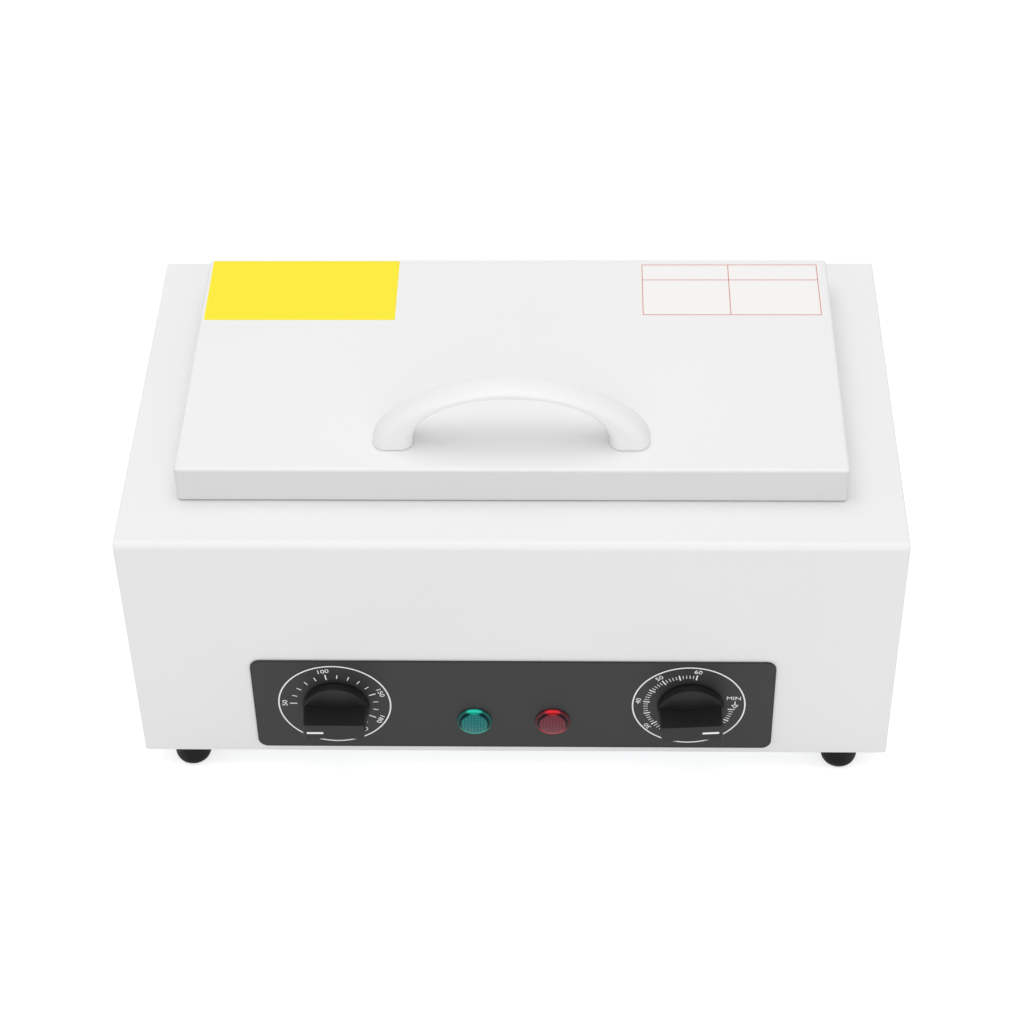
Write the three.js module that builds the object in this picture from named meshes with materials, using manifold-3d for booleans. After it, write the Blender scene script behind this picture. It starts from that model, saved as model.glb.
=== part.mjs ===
// Bench-top dry heat sterilizer: a sheet-metal cabinet with a heated chamber under an insulated hinged lid.
// Lengths are in millimetres. +X is right seen from the front, +Y is to the back, +Z is up.
// The origin is on the surface that the feet stand on, in the middle of the whole object's box.

import * as THREE from "three";
import { mergeVertices } from "three/addons/utils/BufferGeometryUtils.js";
import Module from "manifold-3d";

const wasm = await Module();
wasm.setup();

// Clearances that every piece shares
const fit = 0.3;
const overrun = 4;
const weldDistance = 0.001;

// Facet counts of round shapes
const fineFacets = 40;
const wideFacets = 28;
const plainFacets = 16;
const smallFacets = 10;
const cornerFacets = 4;
const bendFacets = 4;
const foldFacets = 2;

// Chamber, pressed from stainless sheet, hung by its flange
const chamberWidth = 258;
const chamberDepth = 117.5;
const chamberHeight = 50;
const chamberCorner = 14;
const chamberFloorRound = 3;
const chamberSheet = 0.8;
const chamberFlange = 10;

// Instrument tray
const trayGap = 5;
const trayHeight = 20;
const traySheet = 0.8;
const trayCorner = 10;
const trayRim = 2.5;
const trayHoleRadius = 4.5;
const trayHolePitch = 30;
const trayHoleBorder = 16;

// Lid
const lidBorder = 16;
const lidHeight = 18.2;
const lidSheet = 1;
const lidTopRound = 2;
const lidCorner = 2.5;
const lidSeat = 0.8;
const hemHeight = 3.6;
const hemSheet = 1;
const innerPlateSheet = 0.8;
const innerPlateLip = 5;
const innerPlateDish = 7;
const dishGap = 6;
const dishCorner = 8;
const gasketWidth = 5;
const gasketHeight = 3;

// Cabinet
const sideMargin = 25;
const frontMargin = 28;
const rearMargin = 20.5;
const caseSheet = 1;
const frontFold = 3.5;
const sideFold = 1.2;
const rearFlange = 12;
const baseLip = 9;

// Insulation and heater space under and around the chamber
const woolThickness = 10;
const jacketSheet = 0.8;
const jacketFlange = 8;
const heaterRadius = 4;
const heaterRowInset = 22.75;
const heaterEndGap = 14;
const heaterLeadInset = 18;
const heaterLeadDrop = 12;
const heaterBendsPerGap = 3;
const heaterHoleGap = 1.2;
const clampWidth = 8;
const clampSheet = 1.2;
const clampPostsPerGap = 8;
const clampSpacing = 130;
const cutoutRadius = 7;
const cutoutHeight = 6;
const cutoutSideGap = 1;

// Feet
const footHeight = 13;
const footRadius = 8.3;
const footBottomRadius = 5.2;
const footRoundHeight = 5;
const footRoundFacets = 4;
const footInsetFront = 9;
const footInsetSide = 20.5;
const footRecessRadius = 3.6;
const footRecessDepth = 6;

// Screws: shank radius, head radius, head height, length under the head
const footScrew = { shank: 1.8, head: 3.1, cap: 2, length: 10 };
const panelScrew = { shank: 1.5, head: 3, cap: 1.6, length: 7 };
const handleScrew = { shank: 1.8, head: 3.4, cap: 2.2, length: 10 };

// Countersunk hinge screws, flush with the leaf that they hold
const hingeScrewShank = 1.2;
const hingeScrewHead = 2.4;
const hingeScrewLength = 4.5;

// Vent slots in the base plate
const ventLength = 46;
const ventWidth = 4;
const ventPitch = 12;
const ventCount = 5;
const ventOffset = 66;

// Control fascia
const fasciaWidth = 234;
const fasciaHeight = 55.6;
const fasciaThickness = 0.8;
const fasciaCorner = 4.5;
const dialSpacing = 159.6;
const dialDrop = 0.4;
const lampSpacing = 35.4;
const lampDrop = 9.7;

// Knobs: a skirt, a tapering barrel and a grip bar left between two scoops over a crowned floor
const knobGap = 0.5;
const knobHeight = 16;
const knobSkirtRadius = 15;
const knobSkirtHeight = 1.6;
const knobBaseRadius = 14.6;
const knobFrontRadius = 13.9;
const knobEdgeRound = 0.6;
const knobFloorEdge = 3.4;
const knobFloorCrown = 2.3;
const knobFloorFacets = 5;
const gripMiddle = 3.9;
const gripEnd = 4.6;
const gripFront = 4.3;
const gripPoints = 10;
const thermostatKnobDegrees = 180;
const timerKnobDegrees = 3.9;

// Control shafts
const shaftRadius = 3;
const shaftFlat = 1;
const shaftInKnob = 9;
const shaftInBody = 9;

// Thermostat
const bracketWidth = 44;
const bracketHeight = 30;
const bracketSheet = 1.2;
const bracketCorner = 4;
const thermostatWidth = 36;
const thermostatHeight = 32;
const thermostatDepth = 15;
const diaphragmRadius = 13;
const diaphragmDepth = 4;

// Timer
const timerSize = 42;
const timerCorner = 5;
const timerDepth = 22;
const timerRise = 1.2;
const timerHeadroom = 5.3;
const bellRadius = 18;
const bellDepth = 7;
const bellSheet = 1;
const bellPostRadius = 3;

// Spade terminals of the electrical pieces
const tabWidth = 4.8;
const tabSheet = 0.8;
const tabLength = 7;

// Capillary and bulb of the thermostat
const bulbRadius = 3;
const bulbLength = 70;
const bulbInset = 9;
const capillaryRadius = 1;
const capillaryBend = 4;
const capillaryHoleRadius = 2.5;
const capillaryRun = 2;

// Pilot lamps
const lensFlangeRadius = 7.8;
const lensFlangeHeight = 1;
const lensFaceRadius = 6.3;
const lensFaceHeight = 1;
const lensDome = 0.6;
const lensNeckRadius = 5.5;
const lensNeckLength = 6;
const lampBodyRadius = 7.4;
const lampBodyLength = 22;
const lampTabSpacing = 6;

// Power inlet in the rear panel
const inletOffset = 110;
const inletRise = 34;
const inletFlangeWidth = 40;
const inletFlangeHeight = 28;
const inletFlangeDepth = 2.6;
const inletFlangeCorner = 4;
const inletBodyWidth = 28;
const inletBodyHeight = 21;
const inletBodyDepth = 22;
const inletBodyCorner = 2;
const inletWall = 2;
const inletSocketDepth = 17;
const inletSocketCut = 4.5;
const inletPinWidth = 4;
const inletPinSheet = 2;
const inletPinLength = 11.5;
const inletPinSpacing = 7;
const inletPinRaise = 3;

// Terminal block and wiring loom on the base plate
const blockWidth = 44;
const blockDepth = 20;
const blockHeight = 15;
const blockCorner = 2;
const blockOffset = 40;
const blockSetBack = 32;
const blockBarrelRadius = 3.6;
const blockBarrelHeight = 3;
const blockBarrelPitch = 13;
const blockBarrelCount = 3;
const loomRadius = 2.6;
const loomBranchRadius = 1.8;
const loomBend = 5;
const loomBranchBend = 4;
const loomRearRun = 41;
const loomFrontRun = 7;
const loomCornerInset = 4;

// Lid handle: an arch whose inner and outer sides are superellipses
const handleSetBack = 20.8;
const handleInnerHalf = 42.5;
const handleInnerRise = 27.2;
const handleOuterHalf = 60;
const handleOuterRise = 31;
const handleInnerPower = 2.2;
const handleOuterPower = 1.7;
const handleMiddleDepth = 14;
const handleFootDepth = 17;
const handleFootPower = 4;
const handleFootRound = 3.6;
const handleMiddleRound = 1.5;
const handleRoundFacets = 2;
const handleStations = 28;
const handleScrewSpacing = 102;

// Hinges
const hingeInset = 50;
const hingeWidth = 40;
const hingeLeafSheet = 1.2;
const hingeKnuckleRadius = 3.5;
const hingePinRadius = 1.5;
const hingePinPlay = 0.1;
const hingePinCap = 0.9;
const hingePinCapRadius = 2.3;
const hingeLeafReach = 14;
const hingeLidLeafReach = 12.4;
const hingeMiddleWidth = 14;
const hingeScrewSpacing = 26;
const hingeScrewReach = 9;

// Sizes that follow from the driving ones
const lidWidth = chamberWidth + 2 * lidBorder;
const lidDepth = chamberDepth + 2 * lidBorder;
const bodyWidth = lidWidth + 2 * sideMargin;
const bodyDepth = frontMargin + lidDepth + rearMargin;
const bodyFront = -bodyDepth / 2;
const bodyBack = bodyDepth / 2;
const chamberCentre = bodyFront + frontMargin + lidDepth / 2;
const panWidth = chamberWidth + 2 * chamberSheet;
const panDepth = chamberDepth + 2 * chamberSheet;
const panBottom = -chamberHeight - chamberSheet;
const heaterLevel = panBottom - fit - heaterRadius;
const woolFloor = heaterLevel - heaterRadius - 2 * fit - clampSheet;
const woolBottom = woolFloor - woolThickness;
const woolWidth = panWidth + 2 * (fit + woolThickness);
const woolDepth = panDepth + 2 * (fit + woolThickness);
const jacketWidth = woolWidth + 2 * (fit + jacketSheet);
const jacketDepth = woolDepth + 2 * (fit + jacketSheet);
const jacketBottom = woolBottom - fit - jacketSheet;
const jacketTop = -caseSheet - fit;
const dialLevel = baseLip + timerRise + timerSize / 2;
const bodyHeight = dialLevel + timerSize / 2 + timerHeadroom - jacketBottom;
const fasciaFront = fit + fasciaThickness;
const fasciaMiddle = dialLevel + dialDrop;
const lampLevel = dialLevel - lampDrop;
const knobBack = fasciaFront + knobGap;
const wallInside = -caseSheet - fit;
const frontReach = bodyDepth / 2 + knobBack + knobHeight;
const rearReach = bodyDepth / 2 + fit + inletFlangeDepth;
const frameShift = (frontReach - rearReach) / 2;
const gasketBottom = fit + chamberSheet + fit;
const innerPlateLevel = gasketBottom + gasketHeight + fit;
const lidInside = lidHeight - lidSheet;
const hingeSpacing = lidWidth - 2 * hingeInset;
const hingeAxisBack = lidDepth / 2 + fit + hingeKnuckleRadius;
const hingeAxisRise = fit + hingeKnuckleRadius;
const heaterInnerRow = cutoutRadius + cutoutSideGap + heaterRadius;
const heaterOuterRow = chamberDepth / 2 - heaterRowInset;
const heaterRows = [-heaterOuterRow, -heaterInnerRow, heaterInnerRow, heaterOuterRow];
const heaterRowGap = heaterOuterRow - heaterInnerRow;
const heaterBend = heaterRowGap / heaterBendsPerGap;
const clampPostRadius = heaterRowGap / clampPostsPerGap;
const clampPostRow = (heaterInnerRow + heaterOuterRow) / 2;
const heaterLeft = -chamberWidth / 2 + heaterLeadInset;
const heaterRight = chamberWidth / 2 - heaterEndGap;
const heaterLeadEnd = jacketBottom - heaterLeadDrop;
const thermostatBack = wallInside - bracketSheet - thermostatDepth - diaphragmDepth;
const timerBack = wallInside - timerDepth;
const lampBack = wallInside - lampBodyLength;
const bulbLevel = panBottom - fit - bulbRadius;
const bulbRow = -chamberDepth / 2 + bulbInset;

// Finishes
const finish = {
  whitePaint: new THREE.MeshStandardMaterial({ color: 0xf0f0ef, roughness: 0.42, metalness: 0 }),
  whitePlastic: new THREE.MeshStandardMaterial({ color: 0xf2f2f1, roughness: 0.38, metalness: 0 }),
  stainless: new THREE.MeshStandardMaterial({ color: 0xc6c8ca, roughness: 0.32, metalness: 1 }),
  galvanised: new THREE.MeshStandardMaterial({ color: 0xa9adb0, roughness: 0.5, metalness: 1 }),
  zinc: new THREE.MeshStandardMaterial({ color: 0xb9bbbd, roughness: 0.35, metalness: 1 }),
  rubber: new THREE.MeshStandardMaterial({ color: 0x1c1c1c, roughness: 0.8, metalness: 0 }),
  fascia: new THREE.MeshStandardMaterial({ color: 0x464646, roughness: 0.45, metalness: 0 }),
  knob: new THREE.MeshStandardMaterial({ color: 0x1f1f1f, roughness: 0.4, metalness: 0 }),
  greenLens: new THREE.MeshStandardMaterial({ color: 0x14967f, roughness: 0.15, metalness: 0 }),
  redLens: new THREE.MeshStandardMaterial({ color: 0xa01c2c, roughness: 0.15, metalness: 0 }),
  blackPlastic: new THREE.MeshStandardMaterial({ color: 0x242424, roughness: 0.55, metalness: 0 }),
  ceramic: new THREE.MeshStandardMaterial({ color: 0xe6e0d4, roughness: 0.5, metalness: 0 }),
  copper: new THREE.MeshStandardMaterial({ color: 0xb87348, roughness: 0.35, metalness: 1 }),
  wool: new THREE.MeshStandardMaterial({ color: 0xd6c98f, roughness: 0.95, metalness: 0 }),
  silicone: new THREE.MeshStandardMaterial({ color: 0xb8503c, roughness: 0.7, metalness: 0 }),
  sleeve: new THREE.MeshStandardMaterial({ color: 0x2b2b2b, roughness: 0.7, metalness: 0 }),
};

// A closed geometry as a solid that can be joined and cut.
function solidFrom(geometry) {
  const source = geometry.index ? geometry.toNonIndexed() : geometry;
  const bare = new THREE.BufferGeometry();
  bare.setAttribute("position", source.getAttribute("position"));
  const merged = mergeVertices(bare, weldDistance);
  const vertProperties = merged.getAttribute("position").array;
  const triVerts = new Uint32Array(merged.index.array);
  return new wasm.Manifold(new wasm.Mesh({ numProp: 3, vertProperties, triVerts }));
}

// A solid as a geometry for a mesh.
function geometryFrom(solid) {
  const made = solid.getMesh();
  const positions = new Float32Array(made.numVert * 3);
  for (let i = 0; i < made.numVert; i += 1) {
    positions.set(made.vertProperties.subarray(i * made.numProp, i * made.numProp + 3), i * 3);
  }
  const geometry = new THREE.BufferGeometry();
  geometry.setAttribute("position", new THREE.BufferAttribute(positions, 3));
  geometry.setIndex(new THREE.BufferAttribute(made.triVerts, 1));
  geometry.computeVertexNormals();
  return geometry;
}

function join(...solids) {
  return solids.reduce((whole, next) => whole.add(next));
}

function cut(base, ...tools) {
  return tools.reduce((left, tool) => left.subtract(tool), base);
}

// Adds a named mesh of a solid to a group.
function addPiece(group, name, solid, material) {
  const mesh = new THREE.Mesh(geometryFrom(solid), material);
  mesh.name = name;
  group.add(mesh);
  return mesh;
}

function groupAt(parent, x, y, z) {
  const group = new THREE.Group();
  group.position.set(x, y, z);
  parent.add(group);
  return group;
}

// A box given by its lowest and highest corners.
function block(x0, x1, y0, y1, z0, z1) {
  const geometry = new THREE.BoxGeometry(x1 - x0, y1 - y0, z1 - z0);
  geometry.translate((x0 + x1) / 2, (y0 + y1) / 2, (z0 + z1) / 2);
  return solidFrom(geometry);
}

// A rectangle with round corners about a centre.
function roundedRectangle(width, height, corner, centreX = 0, centreY = 0) {
  const left = centreX - width / 2;
  const right = centreX + width / 2;
  const low = centreY - height / 2;
  const high = centreY + height / 2;
  const quarter = Math.PI / 2;
  const shape = new THREE.Shape();
  shape.absarc(right - corner, high - corner, corner, 0, quarter);
  shape.absarc(left + corner, high - corner, corner, quarter, 2 * quarter);
  shape.absarc(left + corner, low + corner, corner, 2 * quarter, 3 * quarter);
  shape.absarc(right - corner, low + corner, corner, 3 * quarter, 4 * quarter);
  shape.closePath();
  return shape;
}

function extruded(shape, length) {
  const options = { depth: length, bevelEnabled: false, curveSegments: cornerFacets };
  return new THREE.ExtrudeGeometry(shape, options);
}

// An outline in the XY plane, thickened from one level to another.
function slabUp(shape, bottom, top) {
  const geometry = extruded(shape, top - bottom);
  geometry.translate(0, 0, bottom);
  return solidFrom(geometry);
}

// An outline in the XZ plane, thickened along Y.
function slabBack(shape, front, back) {
  const geometry = extruded(shape, back - front);
  geometry.rotateX(Math.PI / 2);
  geometry.translate(0, back, 0);
  return solidFrom(geometry);
}

// A slab with round corners in plan whose lower edge is rounded too.
function dishSlab(width, depth, corner, round, bottom, top) {
  const inner = roundedRectangle(width, depth, corner);
  const geometry = new THREE.ExtrudeGeometry(inner, {
    depth: top - bottom - round,
    bevelEnabled: true,
    bevelThickness: round,
    bevelSize: round,
    bevelOffset: -round,
    bevelSegments: foldFacets,
    curveSegments: cornerFacets,
  });
  geometry.translate(0, 0, bottom + round);
  return cut(solidFrom(geometry), block(-width, width, -depth, depth, top, top + round + overrun));
}

// A round bar between two levels, turned about the Z axis.
function bar(radius, bottom, top, facets, x = 0, y = 0) {
  const geometry = new THREE.CylinderGeometry(radius, radius, top - bottom, facets);
  geometry.rotateX(Math.PI / 2);
  geometry.translate(x, y, (bottom + top) / 2);
  return solidFrom(geometry);
}

// A round bar along Y between a front and a back, centred on x and z.
function barBack(radius, front, back, facets, x, z) {
  const geometry = new THREE.CylinderGeometry(radius, radius, back - front, facets);
  geometry.translate(x, (front + back) / 2, z);
  return solidFrom(geometry);
}

// A round bar along X between two sides, centred on y and z.
function barAcross(radius, left, right, facets, y, z) {
  const geometry = new THREE.CylinderGeometry(radius, radius, right - left, facets);
  geometry.rotateZ(Math.PI / 2);
  geometry.translate((left + right) / 2, y, z);
  return solidFrom(geometry);
}

// A profile of [radius, level] pairs from the lowest level up, turned about the Z axis.
function turned(profile, facets) {
  const points = profile.map(([radius, level]) => new THREE.Vector2(radius, level));
  const geometry = new THREE.LatheGeometry(points, facets);
  geometry.rotateX(Math.PI / 2);
  return solidFrom(geometry);
}

// Rings with equal numbers of points, each joined to the next, with both ends closed.
function lofted(rings) {
  const count = rings[0].length;
  const positions = rings.flat(2);
  const triangles = [];
  for (let ring = 0; ring + 1 < rings.length; ring += 1) {
    for (let i = 0; i < count; i += 1) {
      const next = (i + 1) % count;
      const low = ring * count;
      const high = low + count;
      triangles.push(low + i, low + next, high + next, low + i, high + next, high + i);
    }
  }
  const last = (rings.length - 1) * count;
  for (let i = 1; i + 1 < count; i += 1) {
    triangles.push(0, i + 1, i, last, last + i, last + i + 1);
  }
  const geometry = new THREE.BufferGeometry();
  geometry.setAttribute("position", new THREE.Float32BufferAttribute(positions, 3));
  geometry.setIndex(triangles);
  return solidFrom(geometry);
}

// A path of straight runs joined by round bends, with one station at each end of a run and several in a bend.
class BentPath extends THREE.Curve {
  constructor(corners, bendRadius) {
    super();
    this.stations = [];
    const points = corners.map((corner) => new THREE.Vector3(...corner));
    this.addStation(points[0], points[1].clone().sub(points[0]).normalize());
    for (let i = 1; i + 1 < points.length; i += 1) {
      this.addBend(points[i - 1], points[i], points[i + 1], bendRadius);
    }
    const end = points[points.length - 1];
    this.addStation(end, end.clone().sub(points[points.length - 2]).normalize());
  }

  addStation(point, tangent) {
    this.stations.push({ point, tangent });
  }

  addBend(before, corner, after, bendRadius) {
    const arriving = corner.clone().sub(before).normalize();
    const leaving = after.clone().sub(corner).normalize();
    const turn = arriving.angleTo(leaving);
    const reach = bendRadius * Math.tan(turn / 2);
    const inward = leaving.clone().sub(arriving.clone().multiplyScalar(Math.cos(turn))).normalize();
    const start = corner.clone().addScaledVector(arriving, -reach);
    for (let step = 0; step <= bendFacets; step += 1) {
      const angle = (turn * step) / bendFacets;
      const point = start.clone().addScaledVector(arriving, bendRadius * Math.sin(angle));
      point.addScaledVector(inward, bendRadius * (1 - Math.cos(angle)));
      const tangent = arriving.clone().multiplyScalar(Math.cos(angle));
      tangent.addScaledVector(inward, Math.sin(angle));
      this.addStation(point, tangent);
    }
  }

  place(share) {
    const place = share * (this.stations.length - 1);
    const index = Math.min(Math.floor(place), this.stations.length - 2);
    return [this.stations[index], this.stations[index + 1], place - index];
  }

  getPoint(share) {
    const [from, to, part] = this.place(share);
    return from.point.clone().lerp(to.point, part);
  }

  getPointAt(share) {
    return this.getPoint(share);
  }

  getTangentAt(share) {
    const [from, to, part] = this.place(share);
    return from.tangent.clone().lerp(to.tangent, part).normalize();
  }
}

// A round rod along a bent path.
function rod(corners, radius, bendRadius, facets) {
  const path = new BentPath(corners, bendRadius);
  const ring = [];
  for (let i = 0; i < facets; i += 1) {
    const angle = (2 * Math.PI * i) / facets;
    ring.push(new THREE.Vector2(radius * Math.cos(angle), radius * Math.sin(angle)));
  }
  const steps = path.stations.length - 1;
  return solidFrom(new THREE.ExtrudeGeometry(new THREE.Shape(ring), { steps, extrudePath: path }));
}

// A screw standing on Z, its head's underside at level zero and its shank going down.
function screw(size) {
  const rounded = size.head - size.cap / 2;
  return turned(
    [
      [0, -size.length],
      [size.shank, -size.length],
      [size.shank, 0],
      [size.head, 0],
      [size.head, size.cap / 2],
      [rounded, size.cap],
      [0, size.cap],
    ],
    smallFacets,
  );
}

const hingePlaces = [
  { side: "left", x: -hingeSpacing / 2 },
  { side: "right", x: hingeSpacing / 2 },
];

const hingeScrewPlaces = [-hingeScrewSpacing / 2, hingeScrewSpacing / 2];

const footPlaces = [
  { name: "front_left", x: -bodyWidth / 2 + footInsetSide, y: bodyFront + footInsetFront },
  { name: "front_right", x: bodyWidth / 2 - footInsetSide, y: bodyFront + footInsetFront },
  { name: "rear_left", x: -bodyWidth / 2 + footInsetSide, y: bodyBack - footInsetFront },
  { name: "rear_right", x: bodyWidth / 2 - footInsetSide, y: bodyBack - footInsetFront },
];

const panelScrewPlaces = [
  { name: "lower_left", x: -bodyWidth / 2 + rearFlange / 2 + caseSheet, z: baseLip / 2 },
  { name: "lower_right", x: bodyWidth / 2 - rearFlange / 2 - caseSheet, z: baseLip / 2 },
  { name: "upper_left", x: -bodyWidth / 2 + rearFlange / 2 + caseSheet, z: bodyHeight - rearFlange },
  { name: "upper_right", x: bodyWidth / 2 - rearFlange / 2 - caseSheet, z: bodyHeight - rearFlange },
];

// The cabinet's side view from a bottom level up and as far as its back, inset from its outside.
function caseProfile(inset, bottom, back) {
  const front = bodyFront + inset;
  const top = bodyHeight - inset;
  const fold = frontFold - inset;
  const shape = new THREE.Shape();
  shape.moveTo(front, bottom);
  shape.lineTo(back, bottom);
  shape.lineTo(back, top);
  shape.absarc(front + fold, top - fold, fold, Math.PI / 2, Math.PI);
  shape.closePath();
  return shape;
}

// A side view thickened across the cabinet's width, its end edges rounded by a fold.
function acrossWidth(shape, width, fold) {
  const geometry = new THREE.ExtrudeGeometry(shape, {
    depth: width - 2 * fold,
    bevelEnabled: fold > 0,
    bevelThickness: fold,
    bevelSize: fold,
    bevelOffset: -fold,
    bevelSegments: foldFacets,
    curveSegments: cornerFacets,
  });
  geometry.translate(0, 0, fold - width / 2);
  const turn = new THREE.Matrix4().makeBasis(
    new THREE.Vector3(0, 1, 0),
    new THREE.Vector3(0, 0, 1),
    new THREE.Vector3(1, 0, 0),
  );
  geometry.applyMatrix4(turn);
  return solidFrom(geometry);
}

// Painted cabinet: front, top and sides in one, with flanges behind for the rear panel.
function caseShell() {
  const outside = acrossWidth(caseProfile(0, 0, bodyBack), bodyWidth, sideFold);
  const insideProfile = caseProfile(caseSheet, -overrun, bodyBack + overrun);
  const inside = acrossWidth(insideProfile, bodyWidth - 2 * caseSheet, 0);
  const flangeBack = bodyBack - caseSheet - fit;
  const inner = bodyWidth / 2 - caseSheet;
  const flanges = [-1, 1].map((side) => {
    const near = side * (inner - rearFlange);
    const far = side * (inner + caseSheet / 2);
    return block(
      Math.min(near, far),
      Math.max(near, far),
      flangeBack - caseSheet,
      flangeBack,
      baseLip + fit,
      bodyHeight - caseSheet / 2,
    );
  });
  const shell = join(cut(outside, inside), ...flanges);
  const opening = roundedRectangle(panWidth + 2 * fit, panDepth + 2 * fit, chamberCorner, 0, chamberCentre);
  const top = slabUp(opening, bodyHeight - caseSheet - overrun, bodyHeight + overrun);
  const front = (radius, x, z) =>
    barBack(radius, bodyFront - overrun, bodyFront + caseSheet + overrun, plainFacets, x, z);
  const shaftHoles = [-1, 1].map((side) => front(shaftRadius + fit, (side * dialSpacing) / 2, dialLevel));
  const lampHoles = [-1, 1].map((side) => front(lensNeckRadius + fit, (side * lampSpacing) / 2, lampLevel));
  const hingeHoles = hingePlaces.flatMap((hinge) =>
    hingeScrewPlaces.map((place) =>
      bar(
        hingeScrewShank + fit,
        bodyHeight - caseSheet - overrun,
        bodyHeight + overrun,
        smallFacets,
        hinge.x + place,
        chamberCentre + hingeAxisBack + hingeScrewReach,
      ),
    ),
  );
  const flangeFront = flangeBack - caseSheet;
  const screwHoles = panelScrewPlaces.map((place) =>
    barBack(panelScrew.shank + fit, flangeFront - overrun, bodyBack, smallFacets, place.x, place.z),
  );
  return cut(shell, top, ...shaftHoles, ...lampHoles, ...hingeHoles, ...screwHoles);
}

// Flat rear panel between the cabinet's sides, cut out for the power inlet.
function rearPanel() {
  const halfWidth = bodyWidth / 2 - caseSheet - fit;
  const high = bodyHeight - caseSheet - fit;
  const sheet = block(-halfWidth, halfWidth, bodyBack - caseSheet, bodyBack, fit, high);
  const holes = panelScrewPlaces.map((place) =>
    barBack(panelScrew.shank + fit, bodyBack - overrun, bodyBack + overrun, smallFacets, place.x, place.z),
  );
  const inletWidth = inletBodyWidth + 2 * fit;
  const inletHeight = inletBodyHeight + 2 * fit;
  const inletHole = roundedRectangle(inletWidth, inletHeight, inletBodyCorner, inletOffset, inletRise);
  return cut(sheet, slabBack(inletHole, bodyBack - overrun, bodyBack + overrun), ...holes);
}

// Base plate with turned-up lips and vent slots.
function basePlate() {
  const halfWidth = bodyWidth / 2 - caseSheet - fit;
  const front = bodyFront + caseSheet + fit;
  const back = bodyBack - caseSheet - fit;
  const outside = block(-halfWidth, halfWidth, front, back, 0, baseLip);
  const inside = block(
    caseSheet - halfWidth,
    halfWidth - caseSheet,
    front + caseSheet,
    back - caseSheet,
    caseSheet,
    baseLip + overrun,
  );
  const footHoles = footPlaces.map((place) =>
    bar(footScrew.shank + fit, -overrun, caseSheet + overrun, smallFacets, place.x, place.y),
  );
  const screwHoles = panelScrewPlaces
    .filter((place) => place.z < baseLip)
    .map((place) =>
      barBack(panelScrew.shank + fit, back - overrun, back + overrun, smallFacets, place.x, place.z),
    );
  const slots = [];
  for (const side of [-1, 1]) {
    for (let i = 0; i < ventCount; i += 1) {
      const y = (i - (ventCount - 1) / 2) * ventPitch;
      const slot = roundedRectangle(ventLength, ventWidth, ventWidth / 2, side * ventOffset, y);
      slots.push(slabUp(slot, -overrun, caseSheet + overrun));
    }
  }
  return cut(outside, inside, ...footHoles, ...screwHoles, ...slots);
}

// Rubber foot standing on level zero, its screw sunk into it from below.
function foot() {
  const top = footHeight - fit;
  const rounding = [];
  for (let step = 1; step <= footRoundFacets; step += 1) {
    const angle = (step * Math.PI) / 2 / footRoundFacets;
    const radius = footBottomRadius + (footRadius - footBottomRadius) * Math.sin(angle);
    rounding.push([radius, footRoundHeight * (1 - Math.cos(angle))]);
  }
  return turned(
    [
      [footRecessRadius, 0],
      [footBottomRadius, 0],
      ...rounding,
      [footRadius, top],
      [footScrew.shank + fit, top],
      [footScrew.shank + fit, footRecessDepth],
      [footRecessRadius, footRecessDepth],
      [footRecessRadius, 0],
    ],
    plainFacets,
  );
}

// Chamber pan: level zero is the cabinet's top, on which the flange lies.
function chamberPan() {
  const flangeWidth = panWidth + 2 * chamberFlange;
  const flangeDepth = panDepth + 2 * chamberFlange;
  const flange = slabUp(
    roundedRectangle(flangeWidth, flangeDepth, chamberCorner),
    fit,
    fit + chamberSheet,
  );
  const round = chamberFloorRound + chamberSheet;
  const corner = chamberCorner + chamberSheet;
  const outside = dishSlab(panWidth, panDepth, corner, round, panBottom, fit + chamberSheet);
  const inside = dishSlab(
    chamberWidth,
    chamberDepth,
    chamberCorner,
    chamberFloorRound,
    -chamberHeight,
    fit + chamberSheet + overrun,
  );
  return cut(join(flange, outside), inside);
}

// Perforated tray on the chamber's floor, its rim turned outwards to be lifted by.
function instrumentTray() {
  const width = chamberWidth - 2 * trayGap;
  const depth = chamberDepth - 2 * trayGap;
  const bottom = -chamberHeight + fit;
  const top = bottom + trayHeight;
  const outside = slabUp(roundedRectangle(width, depth, trayCorner), bottom, top);
  const rim = slabUp(
    roundedRectangle(width + 2 * trayRim, depth + 2 * trayRim, trayCorner + trayRim),
    top - traySheet,
    top,
  );
  const inside = slabUp(
    roundedRectangle(width - 2 * traySheet, depth - 2 * traySheet, trayCorner - traySheet),
    bottom + traySheet,
    top + overrun,
  );
  const holes = [];
  const columns = Math.floor((width - 2 * trayHoleBorder) / trayHolePitch);
  const rows = Math.floor((depth - 2 * trayHoleBorder) / trayHolePitch);
  for (let column = 0; column <= columns; column += 1) {
    for (let row = 0; row <= rows; row += 1) {
      const x = (column - columns / 2) * trayHolePitch;
      const y = (row - rows / 2) * trayHolePitch;
      holes.push(bar(trayHoleRadius, bottom - overrun, bottom + overrun, smallFacets, x, y));
    }
  }
  return cut(join(outside, rim), inside, ...holes);
}

// Tubular heater: four runs under the chamber's floor, both leads going down at the left.
function heatingElement() {
  const [first, second, third, fourth] = heaterRows;
  return rod(
    [
      [heaterLeft, first, heaterLeadEnd],
      [heaterLeft, first, heaterLevel],
      [heaterRight, first, heaterLevel],
      [heaterRight, second, heaterLevel],
      [heaterLeft + heaterRowGap, second, heaterLevel],
      [heaterLeft + heaterRowGap, third, heaterLevel],
      [heaterRight, third, heaterLevel],
      [heaterRight, fourth, heaterLevel],
      [heaterLeft, fourth, heaterLevel],
      [heaterLeft, fourth, heaterLeadEnd],
    ],
    heaterRadius,
    heaterBend,
    smallFacets,
  );
}

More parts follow.
